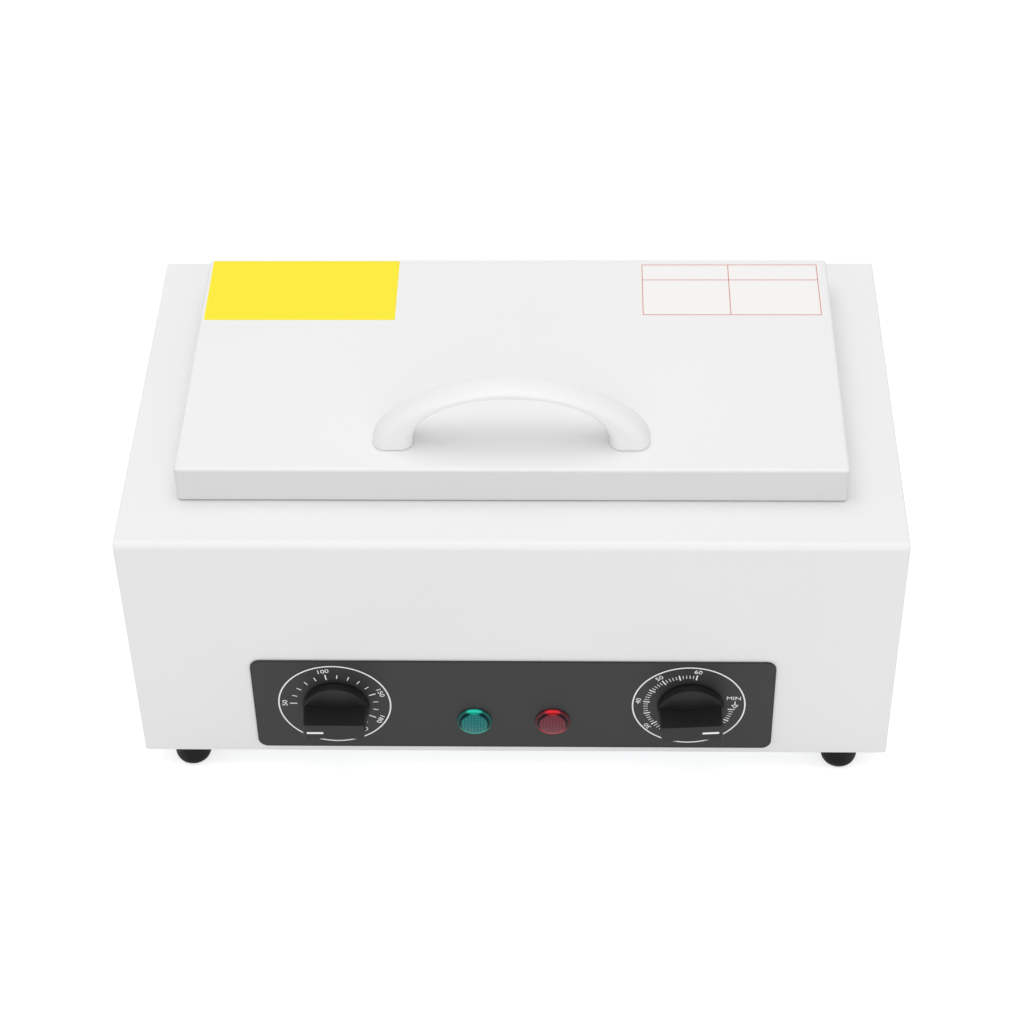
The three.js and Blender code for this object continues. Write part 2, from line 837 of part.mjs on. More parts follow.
// Strap under the heater's runs, held by two posts under the chamber's floor.
function heaterClamp() {
  const reach = heaterRows[3] + heaterRadius;
  const top = heaterLevel - heaterRadius - fit;
  const strap = block(-clampWidth / 2, clampWidth / 2, -reach, reach, top - clampSheet, top);
  const posts = [-1, 1].map((side) =>
    bar(clampPostRadius, top - clampSheet / 2, panBottom - fit, smallFacets, 0, side * clampPostRow),
  );
  return join(strap, ...posts);
}

function tab(x, top) {
  return block(x - tabSheet / 2, x + tabSheet / 2, -tabWidth / 2, tabWidth / 2, top - tabLength, top);
}

// Disc cut-out against the chamber's floor, with two terminals along the heater's runs.
function thermalCutout() {
  const top = panBottom - fit;
  const disc = bar(cutoutRadius, top - cutoutHeight, top, plainFacets);
  const reach = cutoutRadius + tabLength;
  const low = top - (cutoutHeight + tabSheet) / 2;
  const terminals = block(-reach, reach, -tabWidth / 2, tabWidth / 2, low, low + tabSheet);
  return join(disc, terminals);
}

function leadHoles(bottom, top) {
  return [heaterRows[0], heaterRows[3]].map((row) =>
    bar(heaterRadius + heaterHoleGap, bottom, top, smallFacets, heaterLeft, row),
  );
}

function capillaryHole(front, back) {
  return barBack(capillaryHoleRadius, front, back, smallFacets, heaterLeft, bulbLevel);
}

// Mineral wool round the chamber's sides and under its heater.
function chamberInsulation() {
  const corner = chamberCorner + woolThickness;
  const top = jacketTop - jacketSheet - fit;
  const outside = slabUp(roundedRectangle(woolWidth, woolDepth, corner), woolBottom, top);
  const inside = slabUp(
    roundedRectangle(panWidth + 2 * fit, panDepth + 2 * fit, chamberCorner),
    woolFloor,
    overrun,
  );
  const hole = capillaryHole(-woolDepth / 2 - overrun, -chamberDepth / 2 + overrun);
  return cut(outside, inside, hole, ...leadHoles(woolBottom - overrun, woolFloor + overrun));
}

// Sheet tub that holds the insulation, hung by its flange under the cabinet's top.
function insulationJacket() {
  const corner = chamberCorner + woolThickness;
  const outside = slabUp(roundedRectangle(jacketWidth, jacketDepth, corner), jacketBottom, jacketTop);
  const flange = slabUp(
    roundedRectangle(jacketWidth + 2 * jacketFlange, jacketDepth + 2 * jacketFlange, corner),
    jacketTop - jacketSheet,
    jacketTop,
  );
  const inside = slabUp(
    roundedRectangle(woolWidth + 2 * fit, woolDepth + 2 * fit, corner),
    woolBottom - fit,
    jacketTop + overrun,
  );
  const hole = capillaryHole(-jacketDepth / 2 - overrun, -chamberDepth / 2);
  return cut(join(outside, flange), inside, hole, ...leadHoles(jacketBottom - overrun, woolBottom));
}

// Sensing bulb under the chamber's floor and the capillary that leads to the thermostat's back.
function thermostatCapillary() {
  const bulbStart = heaterLeft + heaterBend + capillaryBend;
  const backOfThermostat = bodyFront - chamberCentre - thermostatBack + fit;
  const outside = backOfThermostat + capillaryBend + capillaryRun;
  const dial = dialLevel - bodyHeight;
  const capillary = rod(
    [
      [bulbStart + overrun, bulbRow, bulbLevel],
      [heaterLeft, bulbRow, bulbLevel],
      [heaterLeft, outside, bulbLevel],
      [heaterLeft, outside, dial],
      [-dialSpacing / 2, outside, dial],
      [-dialSpacing / 2, backOfThermostat, dial],
    ],
    capillaryRadius,
    capillaryBend,
    smallFacets,
  );
  const bulbEnd = bulbStart + bulbLength;
  const bulb = barAcross(bulbRadius, bulbStart, bulbEnd, smallFacets, bulbRow, bulbLevel);
  return join(bulb, capillary);
}

// Fascia: level zero along Y is the cabinet's front face.
function controlFascia() {
  const plate = slabBack(
    roundedRectangle(fasciaWidth, fasciaHeight, fasciaCorner, 0, fasciaMiddle),
    -fasciaFront,
    -fit,
  );
  const hole = (radius, x, z) => barBack(radius, -fasciaFront - overrun, overrun, plainFacets, x, z);
  const shafts = [-1, 1].map((side) => hole(shaftRadius + fit, (side * dialSpacing) / 2, dialLevel));
  const lamps = [-1, 1].map((side) => hole(lensNeckRadius + fit, (side * lampSpacing) / 2, lampLevel));
  return cut(plate, ...shafts, ...lamps);
}

// One ring of a scoop's outline: two corners outside the barrel, and the grip bar's side, which is bowed in
// at share 0 and straight at share 1.
function scoopRing(level, share, side) {
  const reach = knobSkirtRadius + overrun;
  const ring = [];
  for (let i = 0; i <= gripPoints; i += 1) {
    const x = reach * ((2 * i) / gripPoints - 1);
    const bowed = gripMiddle + (gripEnd - gripMiddle) * (x / knobBaseRadius) ** 2;
    ring.push([x, side * (bowed + (gripFront - bowed) * share), level]);
  }
  const far = side * (2 * knobSkirtRadius);
  ring.push([reach, far, level], [-reach, far, level]);
  return side > 0 ? ring : ring.reverse();
}

// Knob along Z, its back at level zero, its pointer end along +X.
function knob() {
  const barrel = turned(
    [
      [0, 0],
      [knobSkirtRadius, 0],
      [knobSkirtRadius, knobSkirtHeight],
      [knobBaseRadius, knobSkirtHeight + knobEdgeRound],
      [knobFrontRadius, knobHeight - knobEdgeRound],
      [knobFrontRadius - knobEdgeRound, knobHeight],
      [0, knobHeight],
    ],
    fineFacets,
  );
  const crown = [];
  for (let i = 0; i <= knobFloorFacets; i += 1) {
    const share = 1 - i / knobFloorFacets;
    crown.push([knobSkirtRadius * share, knobFloorEdge + knobFloorCrown * (1 - share ** 2)]);
  }
  const floor = turned([[0, 0], [knobSkirtRadius, 0], ...crown], fineFacets);
  const scoops = [-1, 1].map((side) =>
    lofted([
      scoopRing(knobSkirtHeight, 0, side),
      scoopRing(knobHeight, 1, side),
      scoopRing(knobHeight + overrun, 1, side),
    ]).subtract(floor),
  );
  const bore = bar(shaftRadius + fit, -overrun, shaftInKnob + fit, plainFacets);
  return cut(barrel, ...scoops, bore);
}

// Shaft with a flat, from inside the knob to inside what it turns.
function shaft() {
  const high = knobBack + shaftInKnob;
  const low = wallInside - shaftInBody;
  const round = bar(shaftRadius, low, high, plainFacets);
  const flat = block(
    -shaftRadius,
    shaftRadius,
    shaftRadius - shaftFlat,
    shaftRadius + overrun,
    fasciaFront,
    high + overrun,
  );
  return cut(round, flat);
}

// Capillary thermostat behind the cabinet's front, on its bracket.
function thermostatBody() {
  const bracketBack = wallInside - bracketSheet;
  const housingBack = bracketBack - thermostatDepth;
  const bracketShape = roundedRectangle(bracketWidth, bracketHeight, bracketCorner);
  const bracket = slabUp(bracketShape, bracketBack, wallInside);
  const housing = slabUp(
    roundedRectangle(thermostatWidth, thermostatHeight, bracketCorner),
    housingBack,
    bracketBack + bracketSheet / 2,
  );
  const diaphragm = turned(
    [
      [0, housingBack - diaphragmDepth],
      [diaphragmRadius - diaphragmDepth, housingBack - diaphragmDepth],
      [diaphragmRadius, housingBack],
      [diaphragmRadius, housingBack + bracketSheet],
      [0, housingBack + bracketSheet],
    ],
    plainFacets,
  );
  const bore = bar(shaftRadius + fit, wallInside - shaftInBody - fit, overrun, plainFacets);
  return cut(join(bracket, housing, diaphragm), bore);
}

// Clockwork timer behind the cabinet's front.
function timerBody() {
  const housing = slabUp(roundedRectangle(timerSize, timerSize, timerCorner), timerBack, wallInside);
  const post = bar(bellPostRadius, timerBack - fit - bellDepth / 2, timerBack + fit, smallFacets);
  const bore = bar(shaftRadius + fit, wallInside - shaftInBody - fit, overrun, plainFacets);
  return cut(join(housing, post), bore);
}

// The timer's bell, a shallow cup open towards the timer.
function timerBell() {
  const rim = timerBack - fit - bellDepth / 4;
  const back = rim - bellDepth;
  const inner = bellPostRadius + fit;
  return turned(
    [
      [0, back],
      [bellRadius - bellDepth / 2, back],
      [bellRadius, back + bellDepth / 2],
      [bellRadius, rim],
      [bellRadius - bellSheet, rim],
      [bellRadius - bellSheet, back + bellDepth / 2],
      [bellRadius - bellDepth / 2, back + bellSheet],
      [inner + bellSheet, back + bellSheet],
      [inner + bellSheet, rim],
      [inner, rim],
      [inner, timerBack - 2 * fit - bellDepth / 2],
      [0, timerBack - 2 * fit - bellDepth / 2],
    ],
    wideFacets,
  );
}

// Lamp lens along Z, its flange's back at level zero.
function lampLens() {
  const top = lensFlangeHeight + lensFaceHeight;
  return turned(
    [
      [0, -lensNeckLength],
      [lensNeckRadius, -lensNeckLength],
      [lensNeckRadius, 0],
      [lensFlangeRadius, 0],
      [lensFlangeRadius, lensFlangeHeight / 2],
      [lensFlangeRadius - lensFlangeHeight / 2, lensFlangeHeight],
      [lensFaceRadius, lensFlangeHeight],
      [lensFaceRadius, top],
      [lensFaceRadius / 2, top + 0.75 * lensDome],
      [0, top + lensDome],
    ],
    wideFacets,
  );
}

// Lamp body behind the cabinet's front, bored for the lens's neck.
function lampBody() {
  const barrel = bar(lampBodyRadius, lampBack, wallInside, plainFacets);
  const neckEnd = fasciaFront + fit - lensNeckLength - fit;
  const bore = bar(lensNeckRadius + fit, neckEnd, overrun, plainFacets);
  const tabs = [-1, 1].map((side) => tab((side * lampTabSpacing) / 2, lampBack + fit));
  return join(cut(barrel, bore), ...tabs);
}

// Lid skin, level zero being the cabinet's top: a pressed box with a hem inside its lower edge.
function lidShell() {
  const corner = lidCorner;
  const upsideDown = (solid) => {
    const geometry = geometryFrom(solid);
    geometry.rotateX(Math.PI);
    return solidFrom(geometry);
  };
  const outside = upsideDown(dishSlab(lidWidth, lidDepth, corner, lidTopRound, -lidHeight, -lidSeat));
  const inside = slabUp(
    roundedRectangle(lidWidth - 2 * lidSheet, lidDepth - 2 * lidSheet, corner - lidSheet),
    lidSeat + hemHeight,
    lidInside,
  );
  const mouthInset = 2 * (lidSheet + hemSheet);
  const mouth = slabUp(
    roundedRectangle(lidWidth - mouthInset, lidDepth - mouthInset, lidCorner),
    -overrun,
    lidSeat + hemHeight + overrun,
  );
  const screwHoles = [-1, 1].map((side) =>
    bar(
      handleScrew.shank + fit,
      lidInside - overrun,
      lidHeight + overrun,
      smallFacets,
      (side * handleScrewSpacing) / 2,
      handleSetBack - lidDepth / 2,
    ),
  );
  const hingeHoles = hingePlaces.flatMap((hinge) =>
    hingeScrewPlaces.map((place) =>
      barBack(
        hingeScrewShank + fit,
        lidDepth / 2 - lidSheet - overrun,
        lidDepth / 2 + overrun,
        smallFacets,
        hinge.x + place,
        hingeAxisRise + hingeScrewReach,
      ),
    ),
  );
  return cut(outside, inside, mouth, ...screwHoles, ...hingeHoles);
}

// Inner plate of the lid: turned-up lips inside the skin and a dish that reaches into the chamber's mouth.
function lidInnerPlate() {
  const width = lidWidth - 2 * (lidSheet + fit);
  const depth = lidDepth - 2 * (lidSheet + fit);
  const level = innerPlateLevel;
  const dishWidth = chamberWidth - 2 * dishGap;
  const dishDepth = chamberDepth - 2 * dishGap;
  const tub = slabUp(roundedRectangle(width, depth, lidCorner), level, level + innerPlateLip);
  const dish = dishSlab(
    dishWidth,
    dishDepth,
    dishCorner,
    innerPlateSheet,
    level - innerPlateDish,
    level + innerPlateSheet / 2,
  );
  const sheets = 2 * innerPlateSheet;
  const tubInside = slabUp(
    roundedRectangle(width - sheets, depth - sheets, lidCorner - innerPlateSheet),
    level + innerPlateSheet,
    level + innerPlateLip + overrun,
  );
  const dishInside = slabUp(
    roundedRectangle(dishWidth - sheets, dishDepth - sheets, dishCorner - innerPlateSheet),
    level - innerPlateDish + innerPlateSheet,
    level + overrun,
  );
  return cut(join(tub, dish), tubInside, dishInside);
}

// Seal between the lid's inner plate and the chamber's flange.
function lidGasket() {
  const inset = (chamberFlange - gasketWidth) / 2;
  const width = panWidth + 2 * (inset + gasketWidth);
  const depth = panDepth + 2 * (inset + gasketWidth);
  const corner = chamberCorner;
  const top = gasketBottom + gasketHeight;
  const outside = slabUp(roundedRectangle(width, depth, corner), gasketBottom, top);
  const hole = slabUp(
    roundedRectangle(width - 2 * gasketWidth, depth - 2 * gasketWidth, corner - gasketWidth),
    gasketBottom - overrun,
    top + overrun,
  );
  return cut(outside, hole);
}

// Wool slab in the lid, with pockets for the handle's and the hinges' screws.
function lidInsulation() {
  const inset = 2 * (lidSheet + innerPlateSheet + 2 * fit);
  const bottom = innerPlateLevel + innerPlateSheet + fit;
  const slabShape = roundedRectangle(lidWidth - inset, lidDepth - inset, lidCorner);
  const slab = slabUp(slabShape, bottom, lidInside - fit);
  const handlePockets = [-1, 1].map((side) =>
    bar(
      handleScrew.head + fit,
      lidInside - 2 * fit - handleScrew.cap,
      lidInside + overrun,
      smallFacets,
      (side * handleScrewSpacing) / 2,
      handleSetBack - lidDepth / 2,
    ),
  );
  const hingePockets = hingePlaces.flatMap((hinge) =>
    hingeScrewPlaces.map((place) =>
      barBack(
        hingeScrewShank + fit,
        lidDepth / 2 + hingeLeafSheet - hingeScrewLength,
        lidDepth / 2 + overrun,
        smallFacets,
        hinge.x + place,
        hingeAxisRise + hingeScrewReach,
      ),
    ),
  );
  return cut(slab, ...handlePockets, ...hingePockets);
}

// A point of a superellipse, its angle going from the right foot over the top to the left foot.
function archPoint(half, rise, power, angle) {
  const across = Math.cos(angle);
  const up = Math.sin(angle);
  const grow = (Math.abs(across) ** power + up ** power) ** (-1 / power);
  return new THREE.Vector3(half * across * grow, 0, rise * up * grow);
}

// One section of the handle: a rectangle with round corners between its inner and outer sides.
function handleRing(angle) {
  const inner = archPoint(handleInnerHalf, handleInnerRise, handleInnerPower, angle);
  const outer = archPoint(handleOuterHalf, handleOuterRise, handleOuterPower, angle);
  const footShare = Math.abs(Math.cos(angle)) ** handleFootPower;
  const half = THREE.MathUtils.lerp(handleMiddleDepth, handleFootDepth, footShare) / 2;
  const thickness = inner.distanceTo(outer);
  const round = Math.min(THREE.MathUtils.lerp(handleMiddleRound, handleFootRound, footShare), thickness / 2);
  const ring = [];
  for (let corner = 0; corner < 4; corner += 1) {
    const outSide = corner === 0 || corner === 3 ? 1 : -1;
    const backSide = corner < 2 ? 1 : -1;
    for (let step = 0; step <= handleRoundFacets; step += 1) {
      const swing = ((corner + step / handleRoundFacets) * Math.PI) / 2;
      const out = thickness / 2 + outSide * (thickness / 2 - round) + round * Math.cos(swing);
      const back = backSide * (half - round) + round * Math.sin(swing);
      const point = inner.clone().lerp(outer, out / thickness);
      ring.push([point.x, back, point.z]);
    }
  }
  return ring;
}

// Bow handle standing on level zero, with a blind hole up each foot for its screw.
function lidHandle() {
  const rings = [];
  for (let i = 0; i <= handleStations; i += 1) {
    rings.push(handleRing((Math.PI * i) / handleStations));
  }
  const depth = handleScrew.length - lidSheet;
  const holes = [-1, 1].map((side) =>
    bar(handleScrew.shank + fit, -overrun, depth, smallFacets, (side * handleScrewSpacing) / 2, 0),
  );
  return cut(lofted(rings), ...holes);
}

// Countersunk screw along Z, its flat head's top at level zero.
function countersunkScrew() {
  return turned(
    [
      [0, -hingeScrewLength],
      [hingeScrewShank, -hingeScrewLength],
      [hingeScrewShank, -hingeLeafSheet],
      [hingeScrewHead, 0],
      [0, 0],
    ],
    smallFacets,
  );
}

// The countersunk hole for that screw.
function countersink() {
  const slope = (hingeScrewHead - hingeScrewShank) / hingeLeafSheet;
  return turned(
    [
      [0, -hingeLeafSheet - overrun],
      [hingeScrewShank + fit, -hingeLeafSheet - overrun],
      [hingeScrewShank + fit, -hingeLeafSheet],
      [hingeScrewHead + fit + slope * fit, fit],
      [0, fit],
    ],
    smallFacets,
  );
}

// A hinge leaf about its pin, lying along +Y, its knuckles and gaps filling the given stretches of the pin.
function hingeLeaf(stretches, reach) {
  const half = hingeWidth / 2;
  const low = -hingeKnuckleRadius;
  const sheet = block(-half, half, 0, reach, low, low + hingeLeafSheet);
  const clearance = hingeKnuckleRadius + 2 * fit;
  const gaps = stretches.gaps.map(([left, right]) =>
    block(left, right, -overrun, clearance, low - overrun, 0),
  );
  const knuckles = stretches.knuckles.map(([left, right]) =>
    barAcross(hingeKnuckleRadius, left, right, plainFacets, 0, 0),
  );
  const bore = barAcross(hingePinRadius + hingePinPlay, -half - overrun, half + overrun, plainFacets, 0, 0);
  const holes = hingeScrewPlaces.map((place) =>
    countersink().translate([place, hingeScrewReach, low + hingeLeafSheet]),
  );
  return cut(join(cut(sheet, ...gaps), ...knuckles), bore, ...holes);
}

const hingeHalf = hingeWidth / 2;
const middleHalf = hingeMiddleWidth / 2;
const caseStretches = {
  knuckles: [[-hingeHalf, -middleHalf - fit], [middleHalf + fit, hingeHalf]],
  gaps: [[-middleHalf - fit, middleHalf + fit]],
};
const lidStretches = {
  knuckles: [[-middleHalf, middleHalf]],
  gaps: [[-hingeHalf - overrun, -middleHalf], [middleHalf, hingeHalf + overrun]],
};

// Pin with a cap at each end.
function hingePin() {
  const end = hingeHalf + fit;
  const pin = barAcross(hingePinRadius, -end - hingePinCap / 2, end + hingePinCap / 2, plainFacets, 0, 0);
  const caps = [-end - hingePinCap, end].map((left) =>
    barAcross(hingePinCapRadius, left, left + hingePinCap, plainFacets, 0, 0),
  );
  return join(pin, ...caps);
}

// Appliance inlet: a flange outside the rear panel, a body through it, and a socket with three pins.
function powerInlet() {
  const face = fit + inletFlangeDepth;
  const flange = slabBack(
    roundedRectangle(inletFlangeWidth, inletFlangeHeight, inletFlangeCorner),
    fit,
    face,
  );
  const body = slabBack(
    roundedRectangle(inletBodyWidth, inletBodyHeight, inletBodyCorner),
    -inletBodyDepth,
    face - inletFlangeDepth / 2,
  );
  const half = inletBodyWidth / 2 - inletWall;
  const high = inletBodyHeight / 2 - inletWall;
  const socketShape = new THREE.Shape([
    new THREE.Vector2(-half, -high),
    new THREE.Vector2(half, -high),
    new THREE.Vector2(half, high - inletSocketCut),
    new THREE.Vector2(half - inletSocketCut, high),
    new THREE.Vector2(inletSocketCut - half, high),
    new THREE.Vector2(-half, high - inletSocketCut),
  ]);
  const floor = face - inletSocketDepth;
  const socket = slabBack(socketShape, floor, face + overrun);
  const pins = [-1, 0, 1].map((place) => {
    const x = place * inletPinSpacing;
    const z = place === 0 ? inletPinRaise / 2 : -inletPinRaise / 2;
    return block(
      x - inletPinSheet / 2,
      x + inletPinSheet / 2,
      floor - fit,
      floor + inletPinLength,
      z - inletPinWidth / 2,
      z + inletPinWidth / 2,
    );
  });
  return join(cut(join(flange, body), socket), ...pins);
}

// Ceramic terminal block standing on level zero, with a row of screw barrels.
function terminalBlock() {
  const base = slabUp(roundedRectangle(blockWidth, blockDepth, blockCorner), 0, blockHeight);
  const barrels = [];
  for (let i = 0; i < blockBarrelCount; i += 1) {
    const x = (i - (blockBarrelCount - 1) / 2) * blockBarrelPitch;
    const top = blockHeight + blockBarrelHeight;
    barrels.push(bar(blockBarrelRadius, blockHeight - overrun, top, smallFacets, x, 0));
  }
  return join(base, ...barrels);
}

// Sleeved wiring: one trunk round the base plate from the inlet to the timer, with a branch to each piece.
function wiringLoom() {
  const floor = caseSheet + fit + loomRadius;
  const left = heaterLeft;
  const rear = bodyBack - loomRearRun;
  const front = bodyFront - lampBack + tabLength + loomFrontRun;
  const leadEnd = bodyHeight + heaterLeadEnd - fit;
  const rows = [heaterRows[0], heaterRows[3]].map((row) => chamberCentre + row);
  const timerX = dialSpacing / 2 - timerSize / 2 + loomCornerInset;
  const timerZ = dialLevel - timerSize / 2 + loomCornerInset;
  const thermostatX = -dialSpacing / 2 + thermostatWidth / 2 - loomCornerInset;
  const thermostatZ = dialLevel - thermostatHeight / 2 + loomCornerInset;
  const trunk = rod(
    [
      [inletOffset, bodyBack - inletBodyDepth - fit, inletRise],
      [inletOffset, rear, inletRise],
      [inletOffset, rear, floor],
      [left, rear, floor],
      [left, front, floor],
      [timerX, front, floor],
      [timerX, front, timerZ],
      [timerX, bodyFront - timerBack + fit, timerZ],
    ],
    loomRadius,
    loomBend,
    smallFacets,
  );
  const branch = (corners) => rod(corners, loomBranchRadius, loomBranchBend, smallFacets);
  const leads = rows.map((row) => branch([[left, row, floor], [left, row, leadEnd]]));
  const lamps = [-1, 1].map((side) => {
    const x = (side * lampSpacing) / 2;
    const end = bodyFront - lampBack + tabLength;
    return branch([[x, front, floor], [x, front, lampLevel], [x, end, lampLevel]]);
  });
  const thermostat = branch([
    [thermostatX, front, floor],
    [thermostatX, front, thermostatZ],
    [thermostatX, bodyFront - wallInside + bracketSheet + thermostatDepth + fit, thermostatZ],
  ]);
  const terminals = branch([
    [blockOffset, rear, floor],
    [blockOffset, bodyBack - blockSetBack - loomRearRun + blockDepth + fit, floor],
  ]);
  return join(trunk, ...leads, ...lamps, thermostat, terminals);
}

const object = new THREE.Group();
object.name = "dry_heat_sterilizer";
const cabinet = groupAt(object, 0, frameShift, footHeight);

addPiece(cabinet, "case_shell", caseShell(), finish.whitePaint);
addPiece(cabinet, "base_plate", basePlate(), finish.galvanised);
addPiece(cabinet, "rear_panel", rearPanel(), finish.whitePaint);

for (const place of panelScrewPlaces) {
  const spot = groupAt(cabinet, place.x, bodyBack + fit, place.z);
  spot.rotation.x = -Math.PI / 2;
  addPiece(spot, `rear_panel_screw_${place.name}`, screw(panelScrew), finish.zinc);
}

for (const place of footPlaces) {
  const spot = groupAt(cabinet, place.x, place.y, -footHeight);
  addPiece(spot, `foot_${place.name}`, foot(), finish.rubber);
  const screwSpot = groupAt(spot, 0, 0, footRecessDepth - fit);
  screwSpot.rotation.x = Math.PI;
  addPiece(screwSpot, `foot_screw_${place.name}`, screw(footScrew), finish.zinc);
}

const chamber = groupAt(cabinet, 0, chamberCentre, bodyHeight);
addPiece(chamber, "chamber_pan", chamberPan(), finish.stainless);
addPiece(chamber, "instrument_tray", instrumentTray(), finish.stainless);
addPiece(chamber, "heating_element", heatingElement(), finish.stainless);
addPiece(chamber, "thermal_cutout", thermalCutout(), finish.blackPlastic);
addPiece(chamber, "chamber_insulation", chamberInsulation(), finish.wool);
addPiece(chamber, "insulation_jacket", insulationJacket(), finish.galvanised);
addPiece(chamber, "thermostat_capillary", thermostatCapillary(), finish.copper);
for (const [side, name] of [[-1, "left"], [1, "right"]]) {
  const spot = groupAt(chamber, (side * clampSpacing) / 2, 0, 0);
  addPiece(spot, `heater_clamp_${name}`, heaterClamp(), finish.zinc);
}

const inletSpot = groupAt(cabinet, inletOffset, bodyBack, inletRise);
addPiece(inletSpot, "power_inlet", powerInlet(), finish.blackPlastic);
const blockRow = bodyBack - blockSetBack - loomRearRun + blockDepth / 2;
const blockSpot = groupAt(cabinet, blockOffset, blockRow, caseSheet + fit);
addPiece(blockSpot, "terminal_block", terminalBlock(), finish.ceramic);
addPiece(cabinet, "wiring_loom", wiringLoom(), finish.sleeve);

const front = groupAt(cabinet, 0, bodyFront, 0);
addPiece(front, "control_fascia", controlFascia(), finish.fascia);

// A place on the front whose Z axis points out of the cabinet.
function controlSpot(x, z) {
  const spot = groupAt(front, x, 0, z);
  spot.rotation.x = Math.PI / 2;
  return spot;
}

const thermostatSpot = controlSpot(-dialSpacing / 2, dialLevel);
const timerSpot = controlSpot(dialSpacing / 2, dialLevel);
const controls = [
  { name: "thermostat", spot: thermostatSpot, body: thermostatBody(), degrees: thermostatKnobDegrees },
  { name: "timer", spot: timerSpot, body: timerBody(), degrees: timerKnobDegrees },
];
for (const control of controls) {
  addPiece(control.spot, `${control.name}_body`, control.body, finish.blackPlastic);
  const turning = groupAt(control.spot, 0, 0, 0);
  turning.rotation.z = THREE.MathUtils.degToRad(control.degrees);
  addPiece(turning, `${control.name}_shaft`, shaft(), finish.zinc);
  addPiece(groupAt(turning, 0, 0, knobBack), `${control.name}_knob`, knob(), finish.knob);
}
addPiece(timerSpot, "timer_bell", timerBell(), finish.zinc);

const lamps = [
  { name: "green", side: -1, material: finish.greenLens },
  { name: "red", side: 1, material: finish.redLens },
];
for (const lamp of lamps) {
  const spot = controlSpot((lamp.side * lampSpacing) / 2, lampLevel);
  addPiece(spot, `${lamp.name}_lamp_body`, lampBody(), finish.blackPlastic);
  addPiece(groupAt(spot, 0, 0, fasciaFront + fit), `${lamp.name}_lamp_lens`, lampLens(), lamp.material);
}

const lid = groupAt(cabinet, 0, chamberCentre, bodyHeight);
addPiece(lid, "lid_shell", lidShell(), finish.whitePaint);
addPiece(lid, "lid_inner_plate", lidInnerPlate(), finish.stainless);
addPiece(lid, "lid_insulation", lidInsulation(), finish.wool);
addPiece(lid, "lid_gasket", lidGasket(), finish.silicone);
const handleSpot = groupAt(lid, 0, handleSetBack - lidDepth / 2, lidHeight + fit);
addPiece(handleSpot, "lid_handle", lidHandle(), finish.whitePlastic);
for (const [side, name] of [[-1, "left"], [1, "right"]]) {
  const spot = groupAt(handleSpot, (side * handleScrewSpacing) / 2, 0, -2 * fit - lidSheet);
  spot.rotation.x = Math.PI;
  addPiece(spot, `handle_screw_${name}`, screw(handleScrew), finish.zinc);
}

for (const hinge of hingePlaces) {
  const spot = groupAt(lid, hinge.x, hingeAxisBack, hingeAxisRise);
  addPiece(spot, `hinge_pin_${hinge.side}`, hingePin(), finish.zinc);
  addPiece(spot, `hinge_case_leaf_${hinge.side}`, hingeLeaf(caseStretches, hingeLeafReach), finish.zinc);
  const lidLeafSpot = groupAt(spot, 0, 0, 0);
  lidLeafSpot.rotation.set(Math.PI / 2, 0, Math.PI, "ZXY");
  const lidLeaf = hingeLeaf(lidStretches, hingeLidLeafReach);
  addPiece(lidLeafSpot, `hinge_lid_leaf_${hinge.side}`, lidLeaf, finish.zinc);
  for (const [leaf, holder] of [["case", spot], ["lid", lidLeafSpot]]) {
    hingeScrewPlaces.forEach((place, index) => {
      const level = hingeLeafSheet - hingeKnuckleRadius;
      const screwSpot = groupAt(holder, place, hingeScrewReach, level);
      const name = `hinge_${leaf}_screw_${hinge.side}_${index + 1}`;
      addPiece(screwSpot, name, countersunkScrew(), finish.zinc);
    });
  }
}

export default object;
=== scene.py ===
"""Finishes, printing and fine shapes of a bench-top dry heat sterilizer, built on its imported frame."""

import logging
import math
from collections.abc import Callable, Sequence
from dataclasses import dataclass
from enum import Enum
from typing import Any, Protocol

import bmesh
import bpy
from mathutils import Matrix, Vector


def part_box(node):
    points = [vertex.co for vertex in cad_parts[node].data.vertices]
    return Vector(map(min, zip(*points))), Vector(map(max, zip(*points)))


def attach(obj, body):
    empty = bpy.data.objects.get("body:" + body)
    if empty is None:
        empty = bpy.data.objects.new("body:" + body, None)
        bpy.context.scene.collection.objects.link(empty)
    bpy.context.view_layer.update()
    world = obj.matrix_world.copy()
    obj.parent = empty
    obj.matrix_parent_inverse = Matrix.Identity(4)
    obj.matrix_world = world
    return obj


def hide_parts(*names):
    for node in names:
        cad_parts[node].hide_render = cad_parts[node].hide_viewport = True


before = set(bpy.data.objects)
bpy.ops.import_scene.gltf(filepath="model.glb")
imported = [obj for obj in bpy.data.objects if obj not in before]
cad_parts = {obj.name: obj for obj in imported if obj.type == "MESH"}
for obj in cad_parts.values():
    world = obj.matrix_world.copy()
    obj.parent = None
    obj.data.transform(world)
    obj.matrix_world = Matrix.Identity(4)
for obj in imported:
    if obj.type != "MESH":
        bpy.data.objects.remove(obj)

log = logging.getLogger("sterilizer")

MM = 0.001

# In millimetres: two faces that several pieces start from, the gap under a print, and how far a
# tool reaches on either side of the sheet that it cuts.
LID_TOP = 160.7
PANEL_FACE = -92.75
PRINT_LIFT = 0.005
OVERRUN = 4.0
HOLE_SIDES = 32

# A figure's height as a share of its font size, and how much wider than drawn it is printed.
FIGURE_SHARE = 0.7
FIGURE_STRETCH = 1.2

UPRIGHT = Matrix.Rotation(math.radians(90.0), 4, "X")
BACKWARDS = Matrix.Rotation(math.radians(-90.0), 4, "X")

Colour = tuple[float, float, float]
Place = tuple[float, float, float]
Spot = tuple[float, float]


class Body(Enum):
    """The rigid bodies that pieces ride on."""

    CABINET = "cabinet"
    LID = "lid"
    THERMOSTAT = "thermostat_control"
    TIMER = "timer_control"


